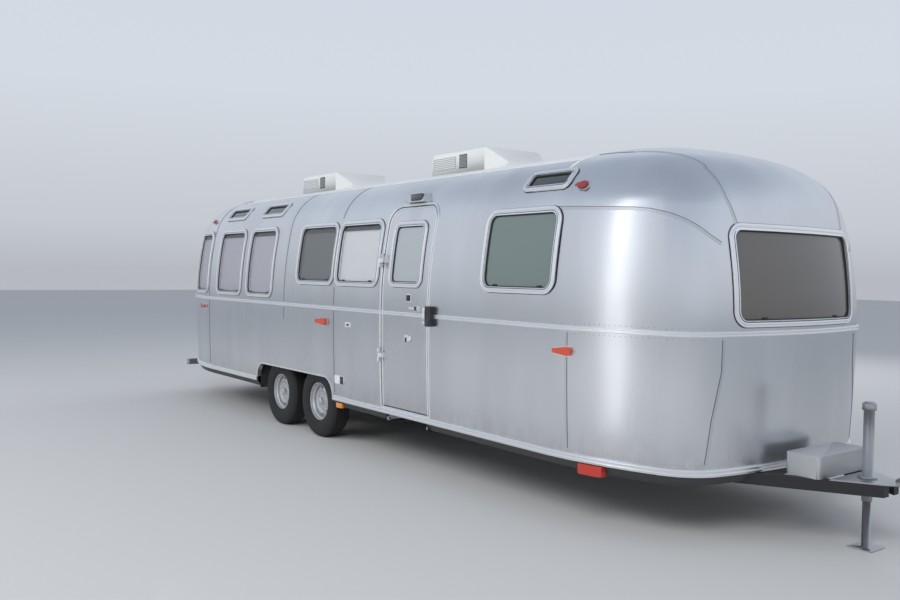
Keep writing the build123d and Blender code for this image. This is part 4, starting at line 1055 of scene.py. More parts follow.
def quarter(centre: Point, radius: float, start: float, way: int, steps: int) -> list[Point]:
    """Points of a quarter circle."""
    turns = [math.radians(start + way * 90 * k / steps) for k in range(steps + 1)]
    return [(centre[0] + radius * math.cos(turn), centre[1] + radius * math.sin(turn)) for turn in turns]


def rounded_outline(width: float, height: float, corner: float) -> list[Point]:
    """Points of a rounded rectangle, counter-clockwise, with the long sides divided.

    Args:
        width: its width.
        height: its height.
        corner: its corners' radius.

    Returns:
        The points.
    """
    points: list[Point] = []
    for sx, sy, start in ((1, -1, -90), (1, 1, 0), (-1, 1, 90), (-1, -1, 180)):
        centre = (sx * (width / 2 - corner), sy * (height / 2 - corner))
        points += quarter(centre, corner, start, 1, CORNER_STEPS)
    return divided(points + points[:1], OUTLINE_STEP)[:-1]


def on_skin(form: BodyForm, points: Iterable[Vector], outset: float = 0.0) -> list[Station]:
    """Stations at points that lie on the skin.

    Args:
        form: the body's form.
        points: the points.
        outset: how far out from the skin the stations are.

    Returns:
        The stations, in order.
    """
    stations = []
    for point in points:
        normal = form.normal(point)
        stations.append(Station(point + normal * outset, normal))
    return stations


def evenly(path: Sequence[Station], pitch: float) -> list[Station]:
    """Stations at an even pitch along a path.

    Args:
        path: the path.
        pitch: how far apart the stations are.

    Returns:
        The stations, from the path's start.
    """
    result, carry = [], 0.0
    for a, b in zip(path, path[1:]):
        length = (b.place - a.place).length
        if length < 1e-9:
            continue
        at = carry
        while at < length:
            share = at / length
            result.append(Station(a.place.lerp(b.place, share), a.out.lerp(b.out, share).normalized()))
            at += pitch
        carry = at - length
    return result


@dataclass(frozen=True)
class Opening:
    """A window's place: a plane that looks out through the skin, and the outline in it."""

    origin: Vector
    right: Vector
    up: Vector
    width: float
    height: float
    corner: float
    straight: bool = False

    STAND_OFF = 0.45
    REACH = 1.2
    JOINT_CLEAR = 0.004

    def at(self, form: BodyForm, u: float, v: float, outset: float = 0.0) -> Station:
        """Station on the skin behind a point of the plane; a straight window runs on past the joint.

        Args:
            form: the body's form.
            u: distance to the right of the middle.
            v: distance above the middle.
            outset: how far out from the skin.

        Returns:
            The station.
        """
        out = self.right.cross(self.up).normalized()
        start = self.origin + self.right * u + self.up * v + out * self.STAND_OFF
        ahead = max(0.0, start.x - form.front_joint + self.JOINT_CLEAR) if self.straight else 0.0
        start.x -= ahead
        place = form.project(start, -out, self.REACH)
        normal = form.normal(place)
        place.x += ahead
        return Station(place + normal * outset, normal)

    def path(self, form: BodyForm, grow: float, outset: float) -> list[Station]:
        """Stations on the skin along the outline.

        Args:
            form: the body's form.
            grow: how far outside the outline.
            outset: how far out from the skin.

        Returns:
            The stations, in order.
        """
        corner = max(0.01, self.corner + grow)
        outline = rounded_outline(self.width + 2 * grow, self.height + 2 * grow, corner)
        return [self.at(form, u, v, outset) for u, v in outline]


def skin_plate(name: str, form: BodyForm, opening: Opening, across: Point, upward: Point, outset: float,
               thickness: float) -> Object:
    """Thin plate that follows the skin over part of an opening.

    Args:
        name: the plate's name.
        form: the body's form.
        opening: the opening whose plane gives the plate's place.
        across: span along the opening.
        upward: span up the opening.
        outset: how far its face lies out from the skin.
        thickness: its thickness, inwards.

    Returns:
        The plate.
    """
    us, vs = spread(*across, OUTLINE_STEP), spread(*upward, SEAM_STEP)
    face = [opening.at(form, u, v, outset) for v in vs for u in us]
    verts = [s.place for s in face] + [s.place - s.out * thickness for s in face]
    count, size = len(us), len(face)
    faces: list[tuple[int, ...]] = []
    for row in range(len(vs) - 1):
        for step in range(count - 1):
            a = row * count + step
            quad = (a, a + 1, a + 1 + count, a + count)
            faces += [quad, tuple(size + k for k in reversed(quad))]
    ring = list(range(count)) + [row * count + count - 1 for row in range(1, len(vs))]
    ring += list(range(size - 2, size - count - 1, -1)) + [row * count for row in range(len(vs) - 2, 0, -1)]
    faces += [(a, a + size, b + size, b) for a, b in zip(ring, ring[1:] + ring[:1])]
    return mesh_object(name, verts, faces)


# Sub-assemblies


@dataclass
class Skin:
    """Sheets of the body with their laps, the painted shadow lines along the laps' edges, and rivets."""

    form: BodyForm
    lap_width: float = 0.022
    lap_height: float = 0.0016
    # Width and height of the dark line along each lap's edge, painted shadow of the lap's step
    lap_shadow_width: float = 0.005
    lap_shadow_height: float = 0.0020
    rivet_radius: float = 0.0042
    rivet_height: float = 0.0022
    rivet_pitch: float = 0.038
    front_seam: float = 1.000
    off_seam: float = 2.28
    door_seam: float = 4.142
    well_seam: float = 5.21
    rear_seam: float = 7.290
    seam_clear: float = 0.03
    door_seam_window: Point = (0.20, 0.86)
    well_top: float = 0.68
    foot_row: float = 0.028
    belt_row: float = 0.034
    shoulder_drop: float = 4.0
    row_ends: Point = (0.05, 8.45)
    lock_clear: float = 0.08
    door_clear: float = 0.02
    well_clear: float = 0.026
    level_rise: float = 1.587
    level_slope: float = 0.05
    level_run: Point = (0.62, 1.25)
    arch_half: float = 0.650
    arch_run: Point = (0.34, 1.25)

    # Laps of the ends beside the window, as (distance across, rise)
    arch: tuple[Point, ...] = (
        (0.608, 1.514), (0.621, 1.569), (0.636, 1.631), (0.655, 1.693),
        (0.662, 1.758), (0.668, 1.824), (0.670, 1.876),
    )
    level: tuple[Point, ...] = (
        (0.749, 1.393), (0.817, 1.438), (0.862, 1.483), (0.919, 1.534),
        (0.964, 1.572), (1.006, 1.603), (1.040, 1.617),
    )
    foot: tuple[Point, ...] = ((0.760, 0.80), (0.762, 0.60), (0.787, 0.48), (0.818, 0.30), (0.838, 0.03))

    SHEETS = ("front_shell", "rear_shell", "kerb_side_wall", "off_side_wall")

    def build(self) -> None:
        """Makes the sheets, laps, painted lap shadows and rivets."""
        sheets = [smooth_copy(node, self.form) for node in self.SHEETS]
        for node, sheet in zip(self.SHEETS, sheets):
            show(sheet, Finishes.SHEET, "shell", ROOT, node)
        show_copies([("roof_panel", Finishes.ROOF, "roof_white", ROOT)], self.form)
        surfaces = [self.surface(sheet) for sheet in sheets]
        laps, rows = ([self.settle(path, surfaces) for path in paths] for paths in self.seams())
        lap = flat_strip(self.lap_width, self.lap_height)
        show(join_meshes("sheet_laps", [sweep("lap", path, lap) for path in laps]), Finishes.SEAM, "shell")
        # Painted shadow: a dark line along the edge of each lap stands for the shade of its step
        line = flat_strip(self.lap_shadow_width, self.lap_shadow_height)
        lines = [sweep("sealant", self.beside(path), line) for path in laps]
        show(join_meshes("lap_sealant", lines), Finishes.LAP_SHADOW, "shell")
        heads = Studs(Finishes.RIVET, (self.rivet_radius, self.rivet_radius, self.rivet_height))
        heads.place("body_rivets", [s for row in rows for s in evenly(row, self.rivet_pitch)], "trim")

    @staticmethod
    def surface(sheet: Object) -> BVHTree:
        """Search tree of a sheet's faces."""
        mesh = sheet.data
        return BVHTree.FromPolygons([v.co for v in mesh.vertices], [tuple(p.vertices) for p in mesh.polygons])

    @staticmethod
    def settle(path: Sequence[Station], surfaces: Sequence[BVHTree], reach: float = 0.03) -> list[Station]:
        """Moves a path on to the sheets' own faces, which stand a little off the form on the ends.

        Args:
            path: the path on the form.
            surfaces: search trees of the sheets.
            reach: how far the sheet is looked for on both sides.

        Returns:
            The path on the sheets.
        """
        settled = []
        for station in evenly(path, SETTLE_STEP) + [path[-1]]:
            start = station.place + station.out * reach
            hits = [surface.ray_cast(start, -station.out, 2 * reach) for surface in surfaces]
            near = [hit for hit in hits if hit[0] is not None]
            place = min(near, key=lambda hit: hit[3])[0] if near else station.place
            settled.append(Station(place, station.out))
        return settled

    def seams(self) -> tuple[list[list[Station]], list[list[Station]]]:
        """Finds where the sheets meet and where rivets stand.

        Returns:
            Paths of the laps, and paths of the rivet rows.
        """
        laps: list[list[Station]] = []
        rows: list[list[Station]] = []
        belt = self.form.belt_rise
        for side in Side:
            for distance in self.wall_seams(side):
                laps += [self.upright(side, distance, *span) for span in self.clear_spans(side, distance)]
            for rise in (self.foot_row, belt - self.belt_row, belt + self.belt_row):
                rows += self.level_rows(side, rise)
            rows.append(self.shoulder_row(side))
        for front in (True, False):
            laps += self.end_seams(front)
        return laps, rows + laps

    def beside(self, path: Sequence[Station]) -> list[Station]:
        """Moves a path to the edge of its lap.

        Args:
            path: the lap's path.

        Returns:
            The edge's path.
        """
        moved = []
        for i, station in enumerate(path):
            along = path[min(i + 1, len(path) - 1)].place - path[max(i - 1, 0)].place
            across = along.cross(station.out).normalized()
            moved.append(station.moved(across * (self.lap_width / 2)))
        return moved

    def wall_seams(self, side: Side) -> list[float]:
        """Distances of a wall's upright seams."""
        seams = [self.front_seam, self.door_seam, self.well_seam, self.rear_seam]
        return seams + ([self.off_seam] if side is Side.OFF else [])

    def clear_spans(self, side: Side, distance: float) -> list[Point]:
        """Rises between which a wall's upright seam is free of windows and the well.

        Args:
            side: side of the caravan.
            distance: the seam's distance behind the nose.

        Returns:
            The spans.
        """
        belt, clear = self.form.belt_rise, self.seam_clear
        top = self.form.arcs[2].at(self.form.seam_angle - 3)[1] - self.form.rail_z
        below, above = (clear, belt - clear), (belt + clear, top)
        if distance == self.front_seam:
            return [below]
        if distance == self.door_seam and side is Side.KERB:
            foot, head = self.door_seam_window
            return [below, (belt + clear, belt + foot), (belt + head, top)]
        if distance == self.well_seam:
            return [(self.well_top, belt - clear), above]
        return [below, above]

    def upright(self, side: Side, distance: float, low: float, high: float) -> list[Station]:
        """Path up a wall.

        Args:
            side: side of the caravan.
            distance: its distance behind the nose.
            low: the rise it starts at.
            high: the rise it ends at.

        Returns:
            The path.
        """
        x = self.form.behind(distance)
        points = [self.form.wall(side, x, self.form.rail_z + z) for z in spread(low, high, SEAM_STEP)]
        return on_skin(self.form, points)

    def level_rows(self, side: Side, rise: float) -> list[list[Station]]:
        """Rivet rows at one rise along a wall and round half of both ends, clear of door and wells.

        Args:
            side: side of the caravan.
            rise: the rows' rise.

        Returns:
            The rows.
        """
        form = self.form
        z = form.rail_z + rise
        first, last = self.row_ends
        gaps: list[Point] = []
        if side is Side.KERB:
            gaps.append((LAYOUT.door_front - self.lock_clear, LAYOUT.door_rear + self.door_clear))
        if rise == self.foot_row:
            gaps.append((LAYOUT.well_front - self.well_clear, LAYOUT.well_rear + self.well_clear))
        edges = [first] + [edge for gap in gaps for edge in gap] + [last]
        result = []
        for low, high in zip(edges[::2], edges[1::2]):
            found = [self.round_point(side, d, z) for d in spread(low, high, ROW_STEP)]
            points = [point for point in found if point]
            result.append(on_skin(form, points))
        return result

    def round_point(self, side: Side, distance: float, z: float) -> Optional[Vector]:
        """Point of the skin at a distance behind the nose.

        Args:
            side: side of the caravan.
            distance: the distance.
            z: the height.

        Returns:
            The point, or None where the body has ended.
        """
        form = self.form
        x = form.behind(distance)
        return form.wall(side, x, z) if form.gap(Vector((x, 0, z))) < -0.05 else None

    def shoulder_row(self, side: Side) -> list[Station]:
        """Rivet row just under the white roof.

        Args:
            side: side of the caravan.

        Returns:
            The row.
        """
        y, z = self.form.arcs[2].at(self.form.seam_angle - self.shoulder_drop)
        xs = spread(self.form.rear_joint, self.form.front_joint, SHOULDER_STEP)
        return on_skin(self.form, [Vector((x, side.value * y, z)) for x in xs])

    def end_seams(self, front: bool) -> list[list[Station]]:
        """Laps of one rounded end: level at the window's head, arched over the crown, upright below.

        Args:
            front: whether it is the front end.

        Returns:
            The laps' paths.
        """
        form = self.form
        sign = 1 if front else -1

        def at(distance: float) -> float:
            """X at a distance from the end's tip."""
            return form.middle + sign * (form.nose - distance - form.middle)

        def across(side: Side, line: Sequence[Point]) -> list[Vector]:
            """Points of the end along a line of distances across and rises."""
            return [form.end(side.value * y, form.rail_z + z, front) for y, z in divided(line, LAP_STEP)]

        paths = []
        for side in Side:
            start = form.rail_z + self.level_rise
            run = spread(*self.level_run, OUTLINE_STEP)
            beyond = [form.wall(side, at(d), start + self.level_slope * d) for d in run]
            run = spread(*self.arch_run, LAP_STEP)
            over = [form.roof(at(d), side.value * self.arch_half) for d in run]
            for line, rest in ((self.level, beyond), (self.arch, over)):
                points = across(side, line)
                paths.append(on_skin(form, points + self.round_gap(points[-1], rest[0]) + rest))
            paths.append(on_skin(form, across(side, self.foot)))
        return paths

    def round_gap(self, start: Vector, end: Vector) -> list[Vector]:
        """Points of the skin between two of its points, seen from inside the body.

        Args:
            start: one point.
            end: the other.

        Returns:
            The points between them.
        """
        form = self.form
        joint = math.copysign(form.front_joint - form.middle, start.x)
        middle = Vector((form.middle + joint, 0, form.belt_z))
        result = []
        for share in spread(0, 1, GAP_STEP / max(GAP_STEP, (end - start).length))[1:-1]:
            way = (start.lerp(end, share) - middle).normalized()
            result.append(form.project(middle + way * 2.4, -way, 2.2))
        return result


@dataclass(frozen=True)
class WindowTrim:
    """Beads and seals of a window's frame."""

    frame_width: float = 0.042
    frame_proud: float = 0.014

    def beads(self, form: BodyForm, opening: Opening) -> list[Object]:
        """Three bright beads: outer edge, ridge and inner lip.

        Args:
            form: the body's form.
            opening: the window.

        Returns:
            The beads.
        """
        face, width = self.frame_proud, self.frame_width
        rows = (
            (-0.006, face - 0.003, half_round(0.012, 0.004, 0.004)),
            (-width * 0.52, face - 0.001, half_round(0.015, 0.005, 0.004)),
            (-width + 0.004, face - 0.008, half_round(0.010, 0.006, 0.004)),
        )
        return [sweep("bead", opening.path(form, grow, out), section, True) for grow, out, section in rows]

    def seals(self, form: BodyForm, opening: Opening) -> list[Object]:
        """Black seals: in the frame's channel, on the glass and between frame and skin.

        Args:
            form: the body's form.
            opening: the window.

        Returns:
            The seals.
        """
        width = self.frame_width
        rows = (
            (-width * 0.80, self.frame_proud - 0.0035, flat_strip(0.006, 0.004, 0.004)),
            (-width - 0.0035, -0.0045, flat_strip(0.009, 0.006, 0.004)),
            (0.002, 0.0, flat_strip(0.006, 0.002, 0.003)),
        )
        return [sweep("seal", opening.path(form, grow, out), section, True) for grow, out, section in rows]


TRIM = WindowTrim()


@dataclass(frozen=True)
class SideWindow:
    """A window of a side wall: its front edge's distance behind the nose, and its width."""

    side: Side
    front: float
    width: float

    @property
    def middle(self) -> float:
        """Distance of its middle."""
        return self.front + self.width / 2


BRIGHT_WINDOW = SideWindow(Side.KERB, 3.345, 0.790)
SCREEN_WINDOW = SideWindow(Side.KERB, 4.150, 0.790)


@dataclass
class Windows:
    """Frames, gaskets, latches, glass and blinds of every window of the fixed body."""

    form: BodyForm
    usual: Point = (0.215, 0.610)
    tall: Point = (0.055, 0.770)
    side_corner: float = 0.110
    end_width: float = 1.370
    end_rise: float = 0.040
    end_height: float = 0.650
    end_corner: float = 0.100
    wing_width: float = 0.600
    wing_angle: float = 82.0
    blend_radius: float = 2.628
    vista_height: float = 0.200
    vista_corner: float = 0.060
    vista_tilt: float = 38.0
    vista_rise: float = 1.860
    vista_foot: float = 1.7
    front_reach: float = 2.0
    wing_from: float = 0.7
    # Dark band behind the glass at each window's head, painted shade under the frame's head: its height and
    # set-back
    head_shade_band: float = 0.052
    head_shade_set_back: float = 0.017
    blind_set_back: float = 0.030
    # Thickness of that painted shade band
    head_shade_thickness: float = 0.008
    blind_thickness: float = 0.003
    blind_top: float = 0.05
    under_frame: float = 0.008
    same_window: float = 0.2
    latch_share: float = 0.3
    latch_rise: float = 0.055
    latch_half: float = 0.022
    latch_radius: float = 0.006
    latch_sink: float = 0.004
    usual_places: tuple[SideWindow, ...] = (
        SideWindow(Side.KERB, 1.110, 0.800), BRIGHT_WINDOW, SCREEN_WINDOW,
        SideWindow(Side.OFF, 1.110, 0.800), SideWindow(Side.OFF, 2.700, 0.790),
        SideWindow(Side.OFF, 4.150, 0.790),
    )
    tall_places: tuple[SideWindow, ...] = (
        SideWindow(Side.KERB, 5.480, 0.700), SideWindow(Side.KERB, 6.305, 0.750),
        SideWindow(Side.OFF, 6.305, 0.750),
    )

    # Roof-edge windows, as (distance of the middle, length)
    vista_places: tuple[Point, ...] = ((1.370, 0.480), (5.800, 0.570), (6.795, 0.570))

    def openings(self) -> list[Opening]:
        """Finds every window of the fixed body."""
        vistas = [self.vista(side, *place) for side in Side for place in self.vista_places]
        return self.side_windows() + vistas + self.end_windows() + [self.wing(side) for side in Side]

    def side_windows(self) -> list[Opening]:
        """Finds the usual and tall windows of both walls.

        Returns:
            The openings.
        """
        form = self.form
        result = []
        for places, (rise, height) in ((self.usual_places, self.usual), (self.tall_places, self.tall)):
            middle = form.belt_z + rise + height / 2
            for window in places:
                centre = form.behind(window.middle)
                origin = form.wall(window.side, min(centre, form.front_joint), middle)
                origin.x = centre
                right = Vector((-window.side.value, 0, 0))
                size = (window.width, height, self.side_corner)
                result.append(Opening(origin, right, UP, *size, straight=True))
        return result

    def vista(self, side: Side, distance: float, length: float) -> Opening:
        """Roof-edge window.

        Args:
            side: side of the caravan.
            distance: its middle's distance behind the nose.
            length: its length.

        Returns:
            Its opening.
        """
        tilt = math.radians(self.vista_tilt)
        z = self.form.rail_z + self.vista_rise
        origin = Vector((self.form.behind(distance), side.value * self.form.half_at(z), z))
        out = Vector((0, side.value * math.cos(tilt), math.sin(tilt)))
        right = Vector((-side.value, 0, 0))
        size = (length, self.vista_height, self.vista_corner)
        return Opening(origin, right, out.cross(right), *size, straight=True)

    def end_windows(self) -> list[Opening]:
        """Finds the wide windows of nose and tail.

        Returns:
            The openings.
        """
        form = self.form
        middle = form.belt_z + self.end_rise + self.end_height / 2
        size = (self.end_width, self.end_height, self.end_corner)
        places = ((form.nose, Vector((0, 1, 0))), (form.tail, Vector((0, -1, 0))))
        return [Opening(Vector((x, 0, middle)), right, UP, *size) for x, right in places]

    def wing(self, side: Side) -> Opening:
        """Corner window in the tail's blend.

        Args:
            side: side of the caravan.

        Returns:
            Its opening.
        """
        form = self.form
        turn = math.radians(self.wing_angle)
        rise, height = self.tall
        out = Vector((-math.cos(turn), side.value * math.sin(turn), 0))
        x = form.rear_joint - self.blend_radius * math.cos(turn)
        y = side.value * (form.half_width - self.blend_radius * (1 - math.sin(turn)))
        origin = Vector((x, y, form.belt_z + rise + height / 2))
        return Opening(origin, UP.cross(out), UP, self.wing_width, height, self.side_corner)

    def build(self) -> None:
        """Makes the frames, beads, gaskets, glass and blinds."""
        frames = ("side_window_frames", "end_window_frames")
        show_copies([(node, Finishes.BRIGHT, "trim", ROOT) for node in frames], self.form)
        openings = self.openings()
        beads = [bead for opening in openings for bead in TRIM.beads(self.form, opening)]
        seals = [seal for opening in openings for seal in TRIM.seals(self.form, opening)]
        full = [opening for opening in openings if opening.height > self.vista_height]
        latches = [latch for opening in full for latch in self.latches(opening)]
        show(join_meshes("window_beads", beads), Finishes.BRIGHT, "trim")
        show(join_meshes("window_gaskets", seals), Finishes.GASKET_AND_SHADE, "trim")
        show(join_meshes("window_latches", latches), Finishes.GASKET_AND_SHADE, "trim")
        self.glazing()
        self.backing(full)

    def latches(self, opening: Opening) -> list[Object]:
        """Two small catches inside the foot of a window.

        Args:
            opening: the window.

        Returns:
            The catches.
        """
        out = opening.right.cross(opening.up).normalized()
        pieces = []
        down = opening.up * (opening.height / 2 - self.latch_rise)
        half = opening.right * self.latch_half
        for share in (-self.latch_share, self.latch_share):
            across = opening.right * (share * opening.width)
            place = self.form.project(opening.origin + across - down + out * 0.4, -out, 1.0)
            seat = place - self.form.normal(place) * self.latch_sink
            pieces.append(rod("latch", seat - half, seat + half, self.latch_radius, 10))
        return pieces

    def is_vista(self, p: Vector) -> bool:
        """Whether a pane is a roof-edge window's."""
        return p.z > self.form.rail_z + self.vista_foot

    def is_front(self, p: Vector) -> bool:
        """Whether a pane is a front side window's."""
        return self.form.nose - p.x < self.front_reach and not self.is_vista(p)

    def is_wing(self, p: Vector) -> bool:
        """Whether a pane of the ends is a corner window's."""
        return abs(p.y) > self.wing_from

    def lies_in(self, window: SideWindow, p: Vector) -> bool:
        """Whether a blind lies behind a side window."""
        return p.y * window.side.value > 0 and abs(self.form.nose - p.x - window.middle) < self.same_window

    def glazing(self) -> None:
        """Shows the glass and the blinds by what each window has; the first of a node stands for it."""
        panes = (
            ("side_window_glass", "clear_side_glass", Finishes.GLASS,
             lambda p: not self.is_front(p) and not self.is_vista(p)),
            ("side_window_glass", "front_side_glass", Finishes.GREEN_GLASS, self.is_front),
            ("side_window_glass", "roof_edge_glass", Finishes.DARK_GLASS, self.is_vista),
            ("window_blinds", "bright_blind", Finishes.BLIND, lambda p: self.lies_in(BRIGHT_WINDOW, p)),
            ("window_blinds", "insect_screen", Finishes.SCREEN, lambda p: self.lies_in(SCREEN_WINDOW, p)),
            ("window_blinds", "pale_blinds", Finishes.PALE_BLIND,
             lambda p: not self.lies_in(BRIGHT_WINDOW, p) and not self.lies_in(SCREEN_WINDOW, p)),
            ("end_window_glass", "end_glass", Finishes.BROWN_GLASS, lambda p: not self.is_wing(p)),
            ("end_window_glass", "wing_glass", Finishes.GLASS, self.is_wing),
        )
        replaced: set[str] = set()
        for node, name, finish, test in panes:
            slot = "blind" if node == "window_blinds" else "glass"
            stands_for = () if node in replaced else (node,)
            show(smooth_copy(node, self.form, test, name), finish, slot, ROOT, *stands_for)
            replaced.add(node)

    def backing(self, openings: Sequence[Opening]) -> None:
        """Blinds behind the corner windows, and a dark band behind each window's glass at its head, painted
        shade under the frame's head.

        Args:
            openings: the windows that have them.
        """
        head_shades, blinds = [], []
        inset = TRIM.frame_width - self.under_frame
        for opening in openings:
            half, top = opening.width / 2 - inset, opening.height / 2 - inset
            band, place = (top - self.head_shade_band, top), (-self.head_shade_set_back, self.head_shade_thickness)
            # Painted shade: a black band behind the glass under the frame's head
            head_shades.append(skin_plate("rail", self.form, opening, (-half, half), band, *place))
            if opening.width == self.wing_width:
                drop, place = (-top, top - self.blind_top), (-self.blind_set_back, self.blind_thickness)
                blinds.append(skin_plate("blind", self.form, opening, (-half, half), drop, *place))
        # The black bands are painted shade under the windows' heads
        show(join_meshes("window_head_shade_bands", head_shades), Finishes.GASKET_AND_SHADE, "blind")
        show(join_meshes("corner_window_blinds", blinds), Finishes.PALE_BLIND, "blind")


BELT_BEAD = half_round(0.012, 0.004, 0.003)
BELT_BEAD_SHIFTS = (-0.010, 0.010)


@dataclass
class Mouldings:
    """Belt moulding, bottom rail, roof edge and the wells' trims."""

    form: BodyForm
    belt_proud: float = 0.0115
    rail_proud: float = 0.0085
    rail_drops: Point = (0.011, 0.034)
    belt_stop: float = 2.488
    strip_width: float = 0.03
    strip_height: float = 0.003
    joint_strip_half: float = 0.93
    joint_inset: float = 0.002
    end_steps: int = 48

    def build(self) -> None:
        """Makes the mouldings and their beads."""
        nodes = ("belt_moulding", "bottom_rail", "wheel_arch_trims")
        show_copies([(node, Finishes.BRIGHT, "trim", ROOT) for node in nodes], self.form)
        rail_bead = half_round(0.018, 0.006, 0.004)
        beads = self.beads([self.belt_run()], self.belt_proud, BELT_BEAD_SHIFTS, BELT_BEAD)
        beads += self.beads(self.rail_runs(), self.rail_proud, [-drop for drop in self.rail_drops], rail_bead)
        show(join_meshes("moulding_beads", beads), Finishes.BRIGHT, "trim")
        self.roof_edges()

    @staticmethod
    def beads(runs: Sequence[Sequence[Station]], proud: float, shifts: Sequence[float],
              section: Sequence[Point]) -> list[Object]:
        """Beads along the face of a moulding."""
        paths = [[s.moved(s.out * proud + UP * shift) for s in run] for run in runs for shift in shifts]
        return [sweep("bead", path, section) for path in paths]

    def belt_run(self) -> list[Station]:
        """Path of the belt moulding, from the lock box round the nose and the tail to the door.

        Returns:
            The path.
        """
        form = self.form
        z = form.belt_z
        front = self.wall_run(Side.KERB, form.behind(self.belt_stop), form.front_joint, z)
        off = self.wall_run(Side.OFF, form.front_joint, form.rear_joint, z)
        rear = self.wall_run(Side.KERB, form.rear_joint, form.behind(LAYOUT.door_rear), z)
        return on_skin(form, front + self.round_end(z, True) + off + self.round_end(z, False) + rear)

    def rail_runs(self) -> list[list[Station]]:
        """Paths of the bottom rail round the nose and round the tail, between the wheel openings.

        Returns:
            The paths.
        """
        form = self.form
        z = form.rail_z + 0.001
        runs = []
        ends = ((True, Side.KERB, LAYOUT.well_front), (False, Side.OFF, LAYOUT.well_rear))
        for front, first, distance in ends:
            second = Side(-first.value)
            stop, joint = form.behind(distance), form.front_joint if front else form.rear_joint
            ahead, after = self.wall_run(first, stop, joint, z), self.wall_run(second, joint, stop, z)
            runs.append(on_skin(form, ahead + self.round_end(z, front) + after))
        return runs

    def wall_run(self, side: Side, start: float, end: float, z: float) -> list[Vector]:
        """Points along a straight wall at one height."""
        return [self.form.wall(side, x, z) for x in spread(start, end, WALL_STEP)]

    def round_end(self, z: float, front: bool) -> list[Vector]:
        """Points round one end, from the kerb side at the front and from the off side at the rear.

        Args:
            z: the height.
            front: whether it is the front end.

        Returns:
            The points.
        """
        sign = 1 if front else -1
        centre = Vector((self.form.front_joint if front else self.form.rear_joint, 0, z))
        points = []
        for k in range(1, self.end_steps):
            turn = math.pi * k / self.end_steps
            way = Vector((sign * math.sin(turn), -math.cos(turn) * sign, 0))
            points.append(self.form.project(centre + way * 2.0, -way, 1.9))
        return points

    def roof_edges(self) -> None:
        """Strip round the edges of the white roof."""
        form = self.form
        edges = []
        for side in Side:
            y, z = form.arcs[2].at(form.seam_angle)
            xs = spread(form.rear_joint, form.front_joint, ROOF_STEP)
            edges.append([Vector((x, side.value * y, z)) for x in xs])
        half = self.joint_strip_half
        for x in (form.rear_joint + self.joint_inset, form.front_joint - self.joint_inset):
            edges.append([form.roof(x, y) for y in spread(-half, half, ROW_STEP)])
        section = flat_strip(self.strip_width, self.strip_height)
        strips = [sweep("edge", on_skin(form, points), section) for points in edges]
        show(join_meshes("roof_edge_strips", strips), Finishes.ROOF, "roof_white")


@dataclass(frozen=True)
class Tile:
    """A small block on the kerb wall.

    Its middle's distance behind the nose and rise, its length and height, and how far out
    from the skin it starts and ends.
    """

    distance: float
    rise: float
    length: float
    height: float
    inner: float
    outer: float

    def build(self, name: str, form: BodyForm) -> Object:
        """Makes the block.

        Args:
            name: its name.
            form: the body's form.

        Returns:
            The block.
        """
        x, z = form.behind(self.distance), form.rail_z + self.rise
        y = form.wall(Side.KERB, x, z).y
        low = (x - self.length / 2, y - self.outer, z - self.height / 2)
        high = (x + self.length / 2, y - self.inner, z + self.height / 2)
        return block(name, low, high, 0.0015)


